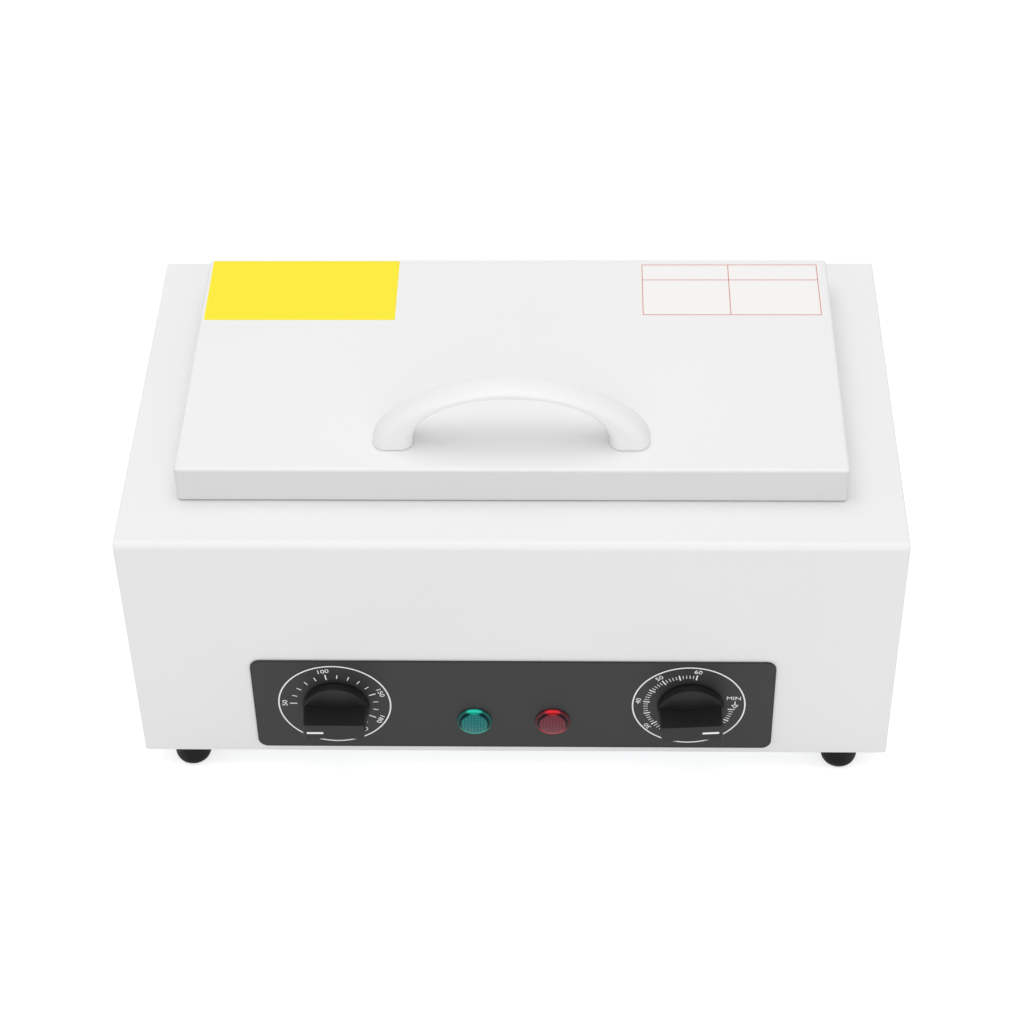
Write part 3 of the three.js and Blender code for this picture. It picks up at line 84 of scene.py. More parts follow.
class Slot(Enum):
    """The record's material slots, one named with each new piece."""

    WHITE_PAINT = "white_paint"
    WHITE_PLASTIC = "white_plastic"
    STAINLESS = "stainless"
    ZINC = "zinc"
    RUBBER = "foot_rubber"
    FASCIA = "fascia"
    KNOB = "knob"
    GREEN_LENS = "green_lens"
    RED_LENS = "red_lens"
    SILICONE = "silicone"


class Pick(Enum):
    """What a selection in edit mode is made of."""

    VERTS = "VERT"
    EDGES = "EDGE"
    FACES = "FACE"


class Grain(Enum):
    """The direction of a brushed finish: how fast its streaks change along X, Y and Z."""

    ALONG_X = (30.0, 2600.0, 2600.0)
    EVEN = (900.0, 900.0, 900.0)


class Signal:
    """A number that varies over a surface: a node socket that takes part in sums."""

    def __init__(self, graph: "Graph", socket: bpy.types.NodeSocket) -> None:
        """Wraps a socket.

        Args:
            graph: the node graph that the socket is in.
            socket: the output socket to wrap.
        """
        self.graph = graph
        self.socket = socket

    def _sum(self, operation: str, *terms: "Signal | float") -> "Signal":
        """Adds one Math node.

        Args:
            operation: the Math node's operation.
            terms: its inputs in order.

        Returns:
            The node's result.
        """
        node = self.graph.node("ShaderNodeMath", {"operation": operation}, dict(enumerate(terms)))
        return Signal(self.graph, node.outputs[0])

    def __add__(self, other: "Signal | float") -> "Signal":
        """Returns self + other."""
        return self._sum("ADD", self, other)

    __radd__ = __add__

    def __sub__(self, other: "Signal | float") -> "Signal":
        """Returns self - other."""
        return self._sum("SUBTRACT", self, other)

    def __rsub__(self, other: float) -> "Signal":
        """Returns other - self."""
        return self._sum("SUBTRACT", other, self)

    def __mul__(self, other: "Signal | float") -> "Signal":
        """Returns self * other."""
        return self._sum("MULTIPLY", self, other)

    __rmul__ = __mul__

    def __pow__(self, power: float) -> "Signal":
        """Returns self to a power."""
        return self._sum("POWER", self, power)

    def span(self, low: float, high: float) -> "Signal":
        """Fades from 0 at low to 1 at high.

        Args:
            low: the value that gives 0.
            high: the value that gives 1; it may be the smaller.

        Returns:
            The faded signal, held between 0 and 1.
        """
        fade = {"interpolation_type": "SMOOTHSTEP"}
        limits = {0: self, 1: low, 2: high, 3: 0.0, 4: 1.0}
        return Signal(self.graph, self.graph.node("ShaderNodeMapRange", fade, limits).outputs[0])

    def saw(self, pitch: float) -> "Signal":
        """Folds the value into ridges.

        Args:
            pitch: the distance from one ridge to the next.

        Returns:
            A zigzag between 0 and half the pitch.
        """
        return self._sum("PINGPONG", self, pitch / 2)

    def larger(self, other: "Signal | float") -> "Signal":
        """Returns the larger of self and other."""
        return self._sum("MAXIMUM", self, other)


class Graph:
    """The node graph of one material or of the world."""

    def __init__(self, tree: bpy.types.NodeTree) -> None:
        """Starts from an empty tree.

        Args:
            tree: the tree to fill; its old nodes are removed.
        """
        self.tree = tree
        tree.nodes.clear()

    def node(
        self, kind: str, settings: dict[str, Any] | None = None, sockets: dict[Any, Any] | None = None
    ) -> bpy.types.Node:
        """Makes any node.

        Args:
            kind: the node's type.
            settings: its properties, set first.
            sockets: values or links of its inputs, by name or number.

        Returns:
            The new node.
        """
        node = self.tree.nodes.new(kind)
        for name, value in (settings or {}).items():
            setattr(node, name, value)
        for key, value in (sockets or {}).items():
            if isinstance(value, Signal):
                self.tree.links.new(value.socket, node.inputs[key])
            elif isinstance(value, bpy.types.NodeSocket):
                self.tree.links.new(value, node.inputs[key])
            else:
                node.inputs[key].default_value = value
        return node

    def place(
        self, scale: Place = (1.0, 1.0, 1.0), centre: Place = (0.0, 0.0, 0.0)
    ) -> bpy.types.NodeSocket:
        """Gives object coordinates, centred and stretched.

        Args:
            scale: the stretch along X, Y and Z.
            centre: the point, in metres, that becomes zero.

        Returns:
            The vector.
        """
        source = self.node("ShaderNodeTexCoord").outputs["Object"]
        shift = tuple(-c * s for c, s in zip(centre, scale))
        sockets = {"Vector": source, "Location": shift, "Scale": scale}
        return self.node("ShaderNodeMapping", {}, sockets).outputs[0]

    def axis(self, vector: bpy.types.NodeSocket, name: str) -> Signal:
        """Returns one of a vector's parts, X, Y or Z."""
        return Signal(self, self.node("ShaderNodeSeparateXYZ", {}, {0: vector}).outputs[name])

    def noise(
        self, vector: bpy.types.NodeSocket, scale: float, detail: float, rough: float = 0.5
    ) -> Signal:
        """Makes cloudy noise.

        Args:
            vector: the place.
            scale: how many features fit in a metre.
            detail: the number of finer layers.
            rough: the weight of the finer layers.

        Returns:
            A signal from 0 to 1.
        """
        sockets = {"Vector": vector, "Scale": scale, "Detail": detail, "Roughness": rough}
        return Signal(self, self.node("ShaderNodeTexNoise", {}, sockets).outputs[0])

    def cells(self, vector: bpy.types.NodeSocket, scale: float) -> Signal:
        """Makes flat patches, each of its own tone.

        Args:
            vector: the place.
            scale: how many patches fit in a metre.

        Returns:
            A signal from 0 to 1.
        """
        node = self.node("ShaderNodeTexVoronoi", {"feature": "F1"}, {"Vector": vector, "Scale": scale})
        return self.axis(node.outputs["Color"], "X")

    def blend(self, first: Any, second: Any, share: Signal | float) -> bpy.types.NodeSocket:
        """Mixes two colours.

        Args:
            first: the colour, or a socket, at share 0.
            second: the colour, or a socket, at share 1.
            share: the signal that goes from the one to the other.

        Returns:
            The mixed colour.
        """
        ends = {6: first, 7: second}
        values = {key: (*value, 1.0) if isinstance(value, tuple) else value for key, value in ends.items()}
        return self.node("ShaderNodeMix", {"data_type": "RGBA"}, {0: share, **values}).outputs[2]

    def relief(self, height: Signal, depth: float) -> bpy.types.NodeSocket:
        """Turns a height into a bumped normal.

        Args:
            height: the height, from 0 to 1.
            depth: how deep a height of 1 is, in metres.

        Returns:
            The normal.
        """
        return self.node("ShaderNodeBump", {}, {"Height": height, "Distance": depth}).outputs[0]


def scaled(colour: Colour, share: float) -> Colour:
    """Returns a colour made darker or paler by a share."""
    return tuple(part * share for part in colour)


class Finish(Protocol):
    """A finish that knows its name and how to lay itself on a node graph."""

    name: str

    def lay(self, graph: Graph) -> dict[str, Any]:
        """Returns the values and links of the surface shader's sockets."""


class FinishRack:
    """Makes each finish once and hands out its material."""

    def __init__(self) -> None:
        """Starts with no material."""
        self._made: dict[str, bpy.types.Material] = {}

    def material(self, finish: Finish) -> bpy.types.Material:
        """Gives a finish's material.

        Args:
            finish: the finish.

        Returns:
            The material, made at the first call.
        """
        if finish.name not in self._made:
            made = bpy.data.materials.new(finish.name)
            made.use_nodes = True
            graph = Graph(made.node_tree)
            surface = graph.node("ShaderNodeBsdfPrincipled", {}, finish.lay(graph))
            graph.node("ShaderNodeOutputMaterial", {}, {"Surface": surface.outputs[0]})
            self._made[finish.name] = made
        return self._made[finish.name]

    def dress(self, piece: bpy.types.Object, finish: Finish) -> None:
        """Puts a finish on all of a piece.

        Args:
            piece: a new piece or a node of the frame.
            finish: the finish.
        """
        made = self.material(finish)
        if not piece.material_slots:
            piece.data.materials.append(made)
        for held in piece.material_slots:
            held.material = made


@dataclass(frozen=True)
class PowderCoat:
    """Baked powder paint: a faint orange peel, a slow drift of tone and of gloss, and painted shade on a
    lid's skirt where a skirt colour is given.
    """

    name: str
    colour: Colour
    gloss: float = 0.42
    peel: float = 520.0
    peel_depth: float = 0.000035
    drift: float = 9.0
    cloud: float = 26.0
    speck: float = 2300.0
    shade_share: float = 0.972
    # skirt: the colour of the painted shade on a lid's skirt, below the level skirt_top.
    skirt: Colour | None = None
    skirt_top: float = 0.0
    skirt_fade: float = 0.0006

    def lay(self, graph: Graph) -> dict[str, Any]:
        """Returns the values and links of the surface shader's sockets."""
        place = graph.place()
        drift = graph.noise(place, self.drift, 3.0)
        speck = graph.noise(place, self.speck, 1.0)
        full: Any = self.colour
        shade: Any = scaled(self.colour, self.shade_share)
        # Painted shade: below skirt_top the colour fades into the darker skirt colour, so the lid's sides
        # look darker than its top.
        if self.skirt is not None:
            fade = self.skirt_fade
            level = graph.axis(place, "Z").span(self.skirt_top - fade, self.skirt_top + fade)
            full = graph.blend(self.skirt, full, level)
            shade = graph.blend(scaled(self.skirt, self.shade_share), shade, level)
        tone = graph.blend(shade, full, (drift * 0.8 + speck * 0.3).span(0.2, 0.85))
        skin = graph.noise(place, self.peel, 2.0, 0.4) * 0.8 + speck * 0.2
        return {
            "Base Color": tone,
            "Roughness": self.gloss + 0.09 * graph.noise(place, self.cloud, 4.0) + 0.03 * speck,
            "Normal": graph.relief(skin, self.peel_depth),
            "Specular IOR Level": 0.4,
        }


@dataclass(frozen=True)
class MouldedPlastic:
    """Moulded plastic: a fine sparked grain and a slight cloud in its gloss."""

    name: str
    colour: Colour
    gloss: float = 0.35
    flow: float = 60.0
    grain: float = 2600.0
    grain_depth: float = 0.00002
    shade_share: float = 0.94
    shine: float = 0.5

    def lay(self, graph: Graph) -> dict[str, Any]:
        """Returns the values and links of the surface shader's sockets."""
        place = graph.place()
        flow = graph.noise(place, self.flow, 3.0)
        spark = graph.noise(place, self.grain, 2.0, 0.6)
        shade = scaled(self.colour, self.shade_share)
        return {
            "Base Color": graph.blend(shade, self.colour, (flow * 0.7 + spark * 0.4).span(0.25, 0.8)),
            "Roughness": self.gloss + 0.08 * flow + 0.06 * spark,
            "Normal": graph.relief(spark * 0.7 + flow * 0.3, self.grain_depth),
            "Specular IOR Level": self.shine,
        }


@dataclass(frozen=True)
class SheetMetal:
    """Bare sheet metal: streaks of its rolling or brushing, and tarnish in slow clouds."""

    name: str
    colour: Colour
    gloss: float
    grain: Grain
    streak_depth: float = 0.000012
    cloud: float = 22.0
    tarnish_share: float = 0.86

    def lay(self, graph: Graph) -> dict[str, Any]:
        """Returns the values and links of the surface shader's sockets."""
        streak = graph.noise(graph.place(self.grain.value), 1.0, 3.0, 0.6)
        cloud = graph.noise(graph.place(), self.cloud, 4.0)
        dull = scaled(self.colour, self.tarnish_share)
        return {
            "Base Color": graph.blend(dull, self.colour, (streak * 0.5 + cloud * 0.6).span(0.3, 0.8)),
            "Metallic": 1.0,
            "Roughness": self.gloss + 0.14 * streak + 0.1 * cloud,
            "Normal": graph.relief(streak, self.streak_depth),
        }


@dataclass(frozen=True)
class GalvanisedSheet:
    """Zinc-dipped sheet: grey spangle in patches a few millimetres wide."""

    name: str
    colour: Colour
    spangle: float = 210.0
    dust: float = 900.0
    depth: float = 0.000015
    dull_share: float = 0.62

    def lay(self, graph: Graph) -> dict[str, Any]:
        """Returns the values and links of the surface shader's sockets."""
        place = graph.place()
        spangle = graph.cells(place, self.spangle)
        dust = graph.noise(place, self.dust, 3.0)
        dull = scaled(self.colour, self.dull_share)
        return {
            "Base Color": graph.blend(dull, self.colour, (spangle * 0.8 + dust * 0.3).span(0.1, 0.95)),
            "Metallic": 1.0,
            "Roughness": 0.38 + 0.16 * spangle + 0.08 * dust,
            "Normal": graph.relief(spangle * 0.5 + dust * 0.5, self.depth),
        }


@dataclass(frozen=True)
class SoftRubber:
    """Moulded rubber: matt, with a dusty bloom and a fine grain."""

    name: str
    colour: Colour
    bloom: Colour
    shine: float = 0.4
    gloss: float = 0.52
    dust: float = 320.0
    grain: float = 3000.0
    grain_depth: float = 0.00004

    def lay(self, graph: Graph) -> dict[str, Any]:
        """Returns the values and links of the surface shader's sockets."""
        place = graph.place()
        dust = graph.noise(place, self.dust, 4.0, 0.6)
        grain = graph.noise(place, self.grain, 2.0)
        return {
            "Base Color": graph.blend(self.colour, self.bloom, dust.span(0.45, 0.85) * 0.6),
            "Roughness": self.gloss + 0.2 * dust,
            "Normal": graph.relief(grain * 0.6 + dust * 0.4, self.grain_depth),
            "Specular IOR Level": self.shine,
        }


@dataclass(frozen=True)
class PrintedPlate:
    """A dark printed control plate: fine woven texture of its film and a soft sheen."""

    name: str
    colour: Colour
    weave: float = 0.00034
    cloud: float = 34.0
    grit: float = 2600.0
    depth: float = 0.00002
    shade_share: float = 0.86

    def lay(self, graph: Graph) -> dict[str, Any]:
        """Returns the values and links of the surface shader's sockets."""
        place = graph.place()
        ridges = graph.axis(place, "X").saw(self.weave) + graph.axis(place, "Z").saw(self.weave)
        film = ridges * (1 / self.weave)
        cloud = graph.noise(place, self.cloud, 3.0)
        grit = graph.noise(place, self.grit, 2.0)
        shade = scaled(self.colour, self.shade_share)
        return {
            "Base Color": graph.blend(shade, self.colour, (cloud * 0.5 + grit * 0.5).span(0.25, 0.75)),
            "Roughness": 0.42 + 0.1 * cloud + 0.06 * grit,
            "Normal": graph.relief(film * 0.5 + grit * 0.5, self.depth),
            "Specular IOR Level": 0.35,
        }


@dataclass(frozen=True)
class ScreenInk:
    """Screen-printed ink: slightly uneven cover and a matt, grainy skin."""

    name: str
    colour: Colour
    gloss: float = 0.5
    thin_share: float = 0.88
    grain: float = 1500.0
    grain_depth: float = 0.00001

    def lay(self, graph: Graph) -> dict[str, Any]:
        """Returns the values and links of the surface shader's sockets."""
        place = graph.place()
        cover = graph.noise(place, self.grain, 3.0)
        thin = scaled(self.colour, self.thin_share)
        return {
            "Base Color": graph.blend(thin, self.colour, cover.span(0.25, 0.6)),
            "Roughness": self.gloss + 0.15 * cover,
            "Normal": graph.relief(cover, self.grain_depth),
        }


@dataclass(frozen=True)
class PrismLens:
    """A clear coloured lamp lens: small pyramids in rows on its face, with painted highlights at their tips
    and painted shade between them, and painted highlights round its rim, along its lower lip and in a glint
    at its top.

    Its lengths are in metres; glint_full and glint_none are squares of lengths.
    """

    name: str
    deep: Colour
    tone: Colour
    # The colour of the lens's painted highlights.
    bright: Colour
    centre: Place
    face_radius: float
    flange_radius: float
    prism: float = 0.0014
    prism_depth: float = 0.00035
    glint_full: float = 0.000002
    glint_none: float = 0.000018
    mist: float = 800.0
    glow_share: float = 0.12

    def lay(self, graph: Graph) -> dict[str, Any]:
        """Returns the values and links of the surface shader's sockets."""
        place = graph.place(centre=self.centre)
        across = graph.axis(place, "X")
        up = graph.axis(place, "Z")
        radius = (across**2.0 + up**2.0) ** 0.5
        face = radius.span(self.face_radius * 0.98, self.face_radius * 0.9)
        rows = (across.saw(self.prism) + up.saw(self.prism)) * (1 / self.prism) * face
        # Painted light on the prisms: their tips lighter, the rows between them darker.
        disc = graph.blend(self.deep, self.tone, face * (0.35 + 0.65 * rows.span(0.25, 0.9)))
        # Painted highlights: a bright line round the flange's edge, a crescent along the lower edge of the
        # face and a glint on the flange at its top.
        rim = radius.span(self.flange_radius * 0.9, self.flange_radius * 0.98)
        low = up.span(-0.25 * self.flange_radius, -0.8 * self.flange_radius)
        lip_highlight = radius.span(self.face_radius * 0.86, self.face_radius * 0.97) * low
        high = up.span(0.66 * self.flange_radius, 0.88 * self.flange_radius)
        middle = (across**2.0).span(self.glint_none, self.glint_full)
        glint = high * (1.0 - face) * middle
        # How much of the painted highlight colour each point takes.
        brightening = (rim * 0.25 + lip_highlight * 0.55 + glint * 0.8).span(0.0, 1.0)
        mist = graph.noise(place, self.mist, 2.0)
        # The lens's colour with its painted highlights; its emission carries the same painted highlights.
        tint = graph.blend(disc, self.bright, brightening)
        return {
            "Base Color": tint,
            "Roughness": 0.12 + 0.08 * mist,
            "Normal": graph.relief(rows * 0.8 + mist * 0.1, self.prism_depth),
            "Emission Color": tint,
            "Emission Strength": self.glow_share,
            "Specular IOR Level": 0.16,
        }


@dataclass(frozen=True)
class MineralWool:
    """Pressed mineral wool: tangled fibres, with painted shade in the low folds of its relief."""

    name: str
    colour: Colour
    fibre: Place = (260.0, 900.0, 900.0)
    clump: float = 60.0
    depth: float = 0.0009
    dark_share: float = 0.55

    def lay(self, graph: Graph) -> dict[str, Any]:
        """Returns the values and links of the surface shader's sockets."""
        fibre = graph.noise(graph.place(self.fibre), 1.6, 6.0, 0.7)
        clump = graph.noise(graph.place(), self.clump, 4.0)
        # Painted shade: the colour darkens where the relief is low, in its folds.
        dark = scaled(self.colour, self.dark_share)
        return {
            "Base Color": graph.blend(dark, self.colour, (fibre * 0.7 + clump * 0.4).span(0.3, 0.75)),
            "Roughness": 0.86 + 0.1 * fibre,
            "Normal": graph.relief(fibre * 0.7 + clump * 0.3, self.depth),
        }


@dataclass(frozen=True)
class WovenSleeve:
    """Braided heat-proof sleeving: small crossing ribs along the wires."""

    name: str
    colour: Colour
    rib: float = 0.0012
    rib_gain: float = 900.0
    lint: float = 2400.0
    depth: float = 0.0003
    pale_share: float = 2.4

    def lay(self, graph: Graph) -> dict[str, Any]:
        """Returns the values and links of the surface shader's sockets."""
        place = graph.place()
        along, across, up = (graph.axis(place, name) for name in "XYZ")
        ribs = (along + across + up).saw(self.rib) + (along - across + up).saw(self.rib)
        braid = ribs * self.rib_gain
        lint = graph.noise(place, self.lint, 3.0)
        pale = scaled(self.colour, self.pale_share)
        return {
            "Base Color": graph.blend(self.colour, pale, (braid * 0.5 + lint * 0.5).span(0.4, 1.0)),
            "Roughness": 0.7 + 0.15 * lint,
            "Normal": graph.relief(braid * 0.7 + lint * 0.3, self.depth),
        }


PAINT_WHITE: Colour = (0.868, 0.868, 0.866)
# The lid's skirt is painted a shade greyer than its top: painted shade on its sides.
SKIRT_PAINTED_SHADE: Colour = (0.74, 0.74, 0.738)
WHITE_PAINT = PowderCoat("white_powder_coat", PAINT_WHITE)
LID_PAINT = PowderCoat("lid_powder_coat", PAINT_WHITE, skirt=SKIRT_PAINTED_SHADE, skirt_top=0.1598)
HANDLE_PLASTIC = MouldedPlastic(
    "white_handle_plastic", (0.87, 0.87, 0.868), gloss=0.4, shade_share=0.985, shine=0.4
)
KNOB_PLASTIC = MouldedPlastic("black_knob_plastic", (0.0085, 0.0085, 0.0088), gloss=0.36, shine=0.3)
BLACK_PLASTIC = MouldedPlastic(
    "black_moulded_plastic", (0.0176, 0.0176, 0.0176), gloss=0.42, shade_share=0.8
)
CERAMIC = MouldedPlastic("glazed_ceramic", (0.791, 0.745, 0.658), gloss=0.2, grain=500.0, shade_share=0.9)
STAINLESS = SheetMetal("satin_stainless", (0.565, 0.578, 0.591), 0.2, Grain.ALONG_X)
STAINLESS_TUBE = SheetMetal("stainless_tube", (0.42, 0.42, 0.43), 0.3, Grain.EVEN, tarnish_share=0.7)
ZINC = SheetMetal("bright_zinc", (0.485, 0.497, 0.509), 0.24, Grain.EVEN)
COPPER = SheetMetal("bare_copper", (0.479, 0.171, 0.0648), 0.25, Grain.EVEN, tarnish_share=0.6)
GALVANISED = GalvanisedSheet("galvanised_sheet", (0.42, 0.44, 0.455))
FOOT_RUBBER = SoftRubber(
    "black_foot_rubber", (0.004, 0.004, 0.004), (0.012, 0.012, 0.012), gloss=0.4, shine=0.1
)
SILICONE = SoftRubber("red_silicone_rubber", (0.479, 0.0802, 0.0452), (0.56, 0.14, 0.1), gloss=0.45)
FASCIA_FILM = PrintedPlate("dark_fascia_film", (0.0215, 0.0215, 0.0222))
# A thin dark line round the fascia's edge, laid as a film of its own.
DARK_EDGE_LINE = ScreenInk("dark_edge_line", (0.012, 0.012, 0.012), gloss=0.55)
WHITE_INK = ScreenInk("white_screen_ink", (0.95, 0.95, 0.945), thin_share=0.95)
YELLOW_VINYL = ScreenInk("yellow_label_vinyl", (0.96, 0.81, 0.012), gloss=0.45, thin_share=0.98)
WHITE_VINYL = ScreenInk("white_label_vinyl", (0.9, 0.885, 0.868), gloss=0.4, thin_share=0.985)
RED_INK = ScreenInk("red_label_ink", (0.62, 0.2, 0.17), gloss=0.4)
WOOL = MineralWool("yellow_mineral_wool", (0.672, 0.584, 0.275))
SLEEVE = WovenSleeve("braided_sleeving", (0.0242, 0.0242, 0.0242))

# A lamp lens's deep and middle colours, then the colour of its painted highlights.
GREEN_TONES = ((0.001, 0.04, 0.044), (0.002, 0.23, 0.22), (0.02, 0.6, 0.44))
RED_TONES = ((0.04, 0.014, 0.018), (0.21, 0.024, 0.04), (0.72, 0.02, 0.03))


class Bench:
    """Plain modelling moves on pieces, made with Blender's operators and modifiers."""

    @staticmethod
    def settle(piece: bpy.types.Object) -> bpy.types.Object:
        """Moves a piece's place, turn and scale into its mesh.

        Args:
            piece: the piece.

        Returns:
            The same piece.
        """
        Bench.hold(piece)
        bpy.ops.object.transform_apply(location=True, rotation=True, scale=True)
        return piece

    @staticmethod
    def hold(*pieces: bpy.types.Object) -> None:
        """Selects only these pieces, the first of them active."""
        bpy.ops.object.select_all(action="DESELECT")
        for piece in pieces:
            piece.select_set(True)
        bpy.context.view_layer.objects.active = pieces[0]

    @staticmethod
    def block(name: str, low: Place, high: Place) -> bpy.types.Object:
        """Starts a piece from a box.

        Args:
            name: the piece's name.
            low: its lowest corner, in millimetres.
            high: its highest corner, in millimetres.

        Returns:
            The piece.
        """
        bpy.ops.object.select_all(action="DESELECT")
        middle = [(a + b) / 2 * MM for a, b in zip(low, high)]
        bpy.ops.mesh.primitive_cube_add(size=1.0, location=middle)
        piece = bpy.context.object
        piece.scale = [(b - a) * MM for a, b in zip(low, high)]
        piece.name = name
        return Bench.settle(piece)

    @staticmethod
    def rod(name: str, radius: float, length: float, sides: int, place: Matrix) -> bpy.types.Object:
        """Starts a piece from a cylinder along Z that stands on zero.

        Args:
            name: the piece's name.
            radius: its radius, in millimetres.
            length: its length, in millimetres.
            sides: the number of its sides.
            place: where it goes.

        Returns:
            The piece.
        """
        bpy.ops.object.select_all(action="DESELECT")
        bpy.ops.mesh.primitive_cylinder_add(vertices=sides, radius=radius * MM, depth=length * MM)
        piece = bpy.context.object
        piece.name = name
        piece.matrix_world = place @ Matrix.Translation((0.0, 0.0, length / 2 * MM))
        return Bench.settle(piece)

    @staticmethod
    def plate(
        name: str, width: float, height: float, corner: float, steps: int, place: Matrix
    ) -> bpy.types.Object:
        """Starts a flat piece: a plane in X and Y whose corners are rounded.

        Args:
            name: the piece's name.
            width: its size along X, in millimetres.
            height: its size along Y, in millimetres.
            corner: the radius of its corners, in millimetres.
            steps: the number of facets of a corner.
            place: where it goes.

        Returns:
            The piece.
        """
        bpy.ops.object.select_all(action="DESELECT")
        bpy.ops.mesh.primitive_plane_add(size=1.0)
        piece = bpy.context.object
        piece.name = name
        piece.scale = (width * MM, height * MM, 1.0)
        Bench.settle(piece)
        with Shaping(piece, Pick.VERTS) as work:
            work.pick_all()
            bpy.ops.mesh.bevel(affect="VERTICES", offset=corner * MM, segments=steps)
        piece.matrix_world = place
        return Bench.settle(piece)

    @staticmethod
    def turning(name: str, profile: Sequence[Spot], steps: int, place: Matrix) -> bpy.types.Object:
        """Turns a profile round Z: one vertex is drawn out from point to point, then spun.

        Args:
            name: the piece's name.
            profile: (radius, level) points, in millimetres.
            steps: the number of steps round the axis.
            place: where the piece goes.

        Returns:
            The closed piece.
        """
        bpy.ops.object.select_all(action="DESELECT")
        bpy.ops.mesh.primitive_plane_add(size=MM)
        piece = bpy.context.object
        piece.name = name
        points = [Vector((radius * MM, 0.0, level * MM)) for radius, level in profile]
        with Shaping(piece, Pick.VERTS) as work:
            work.pick_all()
            bpy.ops.mesh.merge(type="CENTER")
            bpy.ops.transform.translate(value=points[0])
            for last, point in zip(points, points[1:]):
                bpy.ops.mesh.extrude_region_move(TRANSFORM_OT_translate={"value": point - last})
            work.pick_all()
            bpy.ops.mesh.spin(steps=steps, angle=math.tau, center=(0.0, 0.0, 0.0), axis=(0.0, 0.0, 1.0))
            work.pick_all()
            bpy.ops.mesh.remove_doubles(threshold=0.001 * MM)
            bpy.ops.mesh.normals_make_consistent(inside=False)
        piece.matrix_world = place
        return Bench.settle(piece)

    @staticmethod
    def frame_out(piece: bpy.types.Object, width: float) -> None:
        """Leaves only the rim of a flat face.

        Args:
            piece: the piece, a single face.
            width: the rim's width, in millimetres.
        """
        with Shaping(piece, Pick.FACES) as work:
            work.pick_all()
            bpy.ops.mesh.inset(thickness=width * MM)
            bpy.ops.mesh.delete(type="FACE")

    @staticmethod
    def weld(piece: bpy.types.Object, reach: float, angle: float) -> None:
        """Merges a piece's doubles and clears the edges inside its flat faces.

        Args:
            piece: the piece.
            reach: how near two points are to be merged, in millimetres.
            angle: how nearly flat a face is to be cleared, in degrees.
        """
        with Shaping(piece, Pick.VERTS) as work:
            work.pick_all()
            bpy.ops.mesh.remove_doubles(threshold=reach * MM)
            bpy.ops.mesh.dissolve_limited(angle_limit=math.radians(angle))

    @staticmethod
    def apply(piece: bpy.types.Object, kind: str, **settings: Any) -> None:
        """Adds a modifier and applies it.

        Args:
            piece: the piece.
            kind: the modifier's type.
            settings: its properties.
        """
        Bench.hold(piece)
        modifier = piece.modifiers.new(kind.lower(), kind)
        for name, value in settings.items():
            setattr(modifier, name, value)
        bpy.ops.object.modifier_apply(modifier=modifier.name)

    @staticmethod
    def cut(piece: bpy.types.Object, *tools: bpy.types.Object) -> None:
        """Takes tool pieces out of a piece and removes them.

        Args:
            piece: the piece.
            tools: the closed pieces to take out.
        """
        for tool in tools:
            Bench.apply(piece, "BOOLEAN", operation="DIFFERENCE", solver="EXACT", object=tool)
            bpy.data.objects.remove(tool)

    @staticmethod
    def thicken(piece: bpy.types.Object, sheet: float, offset: float = -1.0, even: bool = True) -> None:
        """Gives a surface a wall.

        Args:
            piece: the piece.
            sheet: the wall's thickness, in millimetres.
            offset: -1 to put it behind the faces, 1 in front.
            even: whether the wall keeps its thickness round folds, which flat lettering has none of.
        """
        Bench.apply(piece, "SOLIDIFY", thickness=sheet * MM, offset=offset, use_even_offset=even)

    @staticmethod
    def round_edges(piece: bpy.types.Object, radius: float) -> None:
        """Rounds every edge that is sharper than 40 degrees with two facets.

        Args:
            piece: the piece.
            radius: the rounding, in millimetres.
        """
        sharp = math.radians(40.0)
        Bench.apply(piece, "BEVEL", width=radius * MM, segments=2, limit_method="ANGLE", angle_limit=sharp)

    @staticmethod
    def smooth(piece: bpy.types.Object, angle: float) -> None:
        """Shades a piece smoothly over its soft edges, with its flat faces kept flat.

        Args:
            piece: the piece.
            angle: the greatest angle that is shaded smoothly, in degrees.
        """
        Bench.hold(piece)
        bpy.ops.object.shade_smooth_by_angle(angle=math.radians(angle))
        Bench.apply(piece, "WEIGHTED_NORMAL", mode="FACE_AREA", keep_sharp=True)

    @staticmethod
    def join(name: str, pieces: Sequence[bpy.types.Object]) -> bpy.types.Object:
        """Joins pieces into one.

        Args:
            name: the name of the whole.
            pieces: the pieces.

        Returns:
            The whole.
        """
        Bench.hold(*pieces)
        if len(pieces) > 1:
            bpy.ops.object.join()
        pieces[0].name = name
        return pieces[0]

    @staticmethod
    def copy(piece: bpy.types.Object, name: str, place: Matrix) -> bpy.types.Object:
        """Copies a piece with a mesh of its own.

        Args:
            piece: the piece to copy.
            name: the copy's name.
            place: what moves the copy from where the piece is.

        Returns:
            The copy.
        """
        twin = piece.copy()
        twin.data = piece.data.copy()
        twin.name = name
        bpy.context.scene.collection.objects.link(twin)
        twin.matrix_world = place
        return Bench.settle(twin)

    @staticmethod
    def lettering(name: str, words: str, height: float, ink: float, place: Matrix) -> bpy.types.Object:
        """Makes thin lettering in X and Y, centred on zero and wider than its typeface.

        Args:
            name: the piece's name.
            words: what it says.
            height: the height of its figures, in millimetres.
            ink: the thickness of its body, in millimetres.
            place: where it goes.

        Returns:
            The piece, a mesh.
        """
        bpy.ops.object.select_all(action="DESELECT")
        bpy.ops.object.text_add()
        piece = bpy.context.object
        piece.name = name
        piece.data.body = words
        piece.data.align_x = "CENTER"
        piece.data.align_y = "CENTER"
        piece.data.size = height * MM / FIGURE_SHARE
        piece.data.resolution_u = 6
        bpy.ops.object.convert(target="MESH")
        piece.matrix_world = place @ Matrix.Diagonal((FIGURE_STRETCH, 1.0, 1.0, 1.0))
        Bench.settle(piece)
        Bench.thicken(piece, ink, offset=1.0, even=False)
        return piece


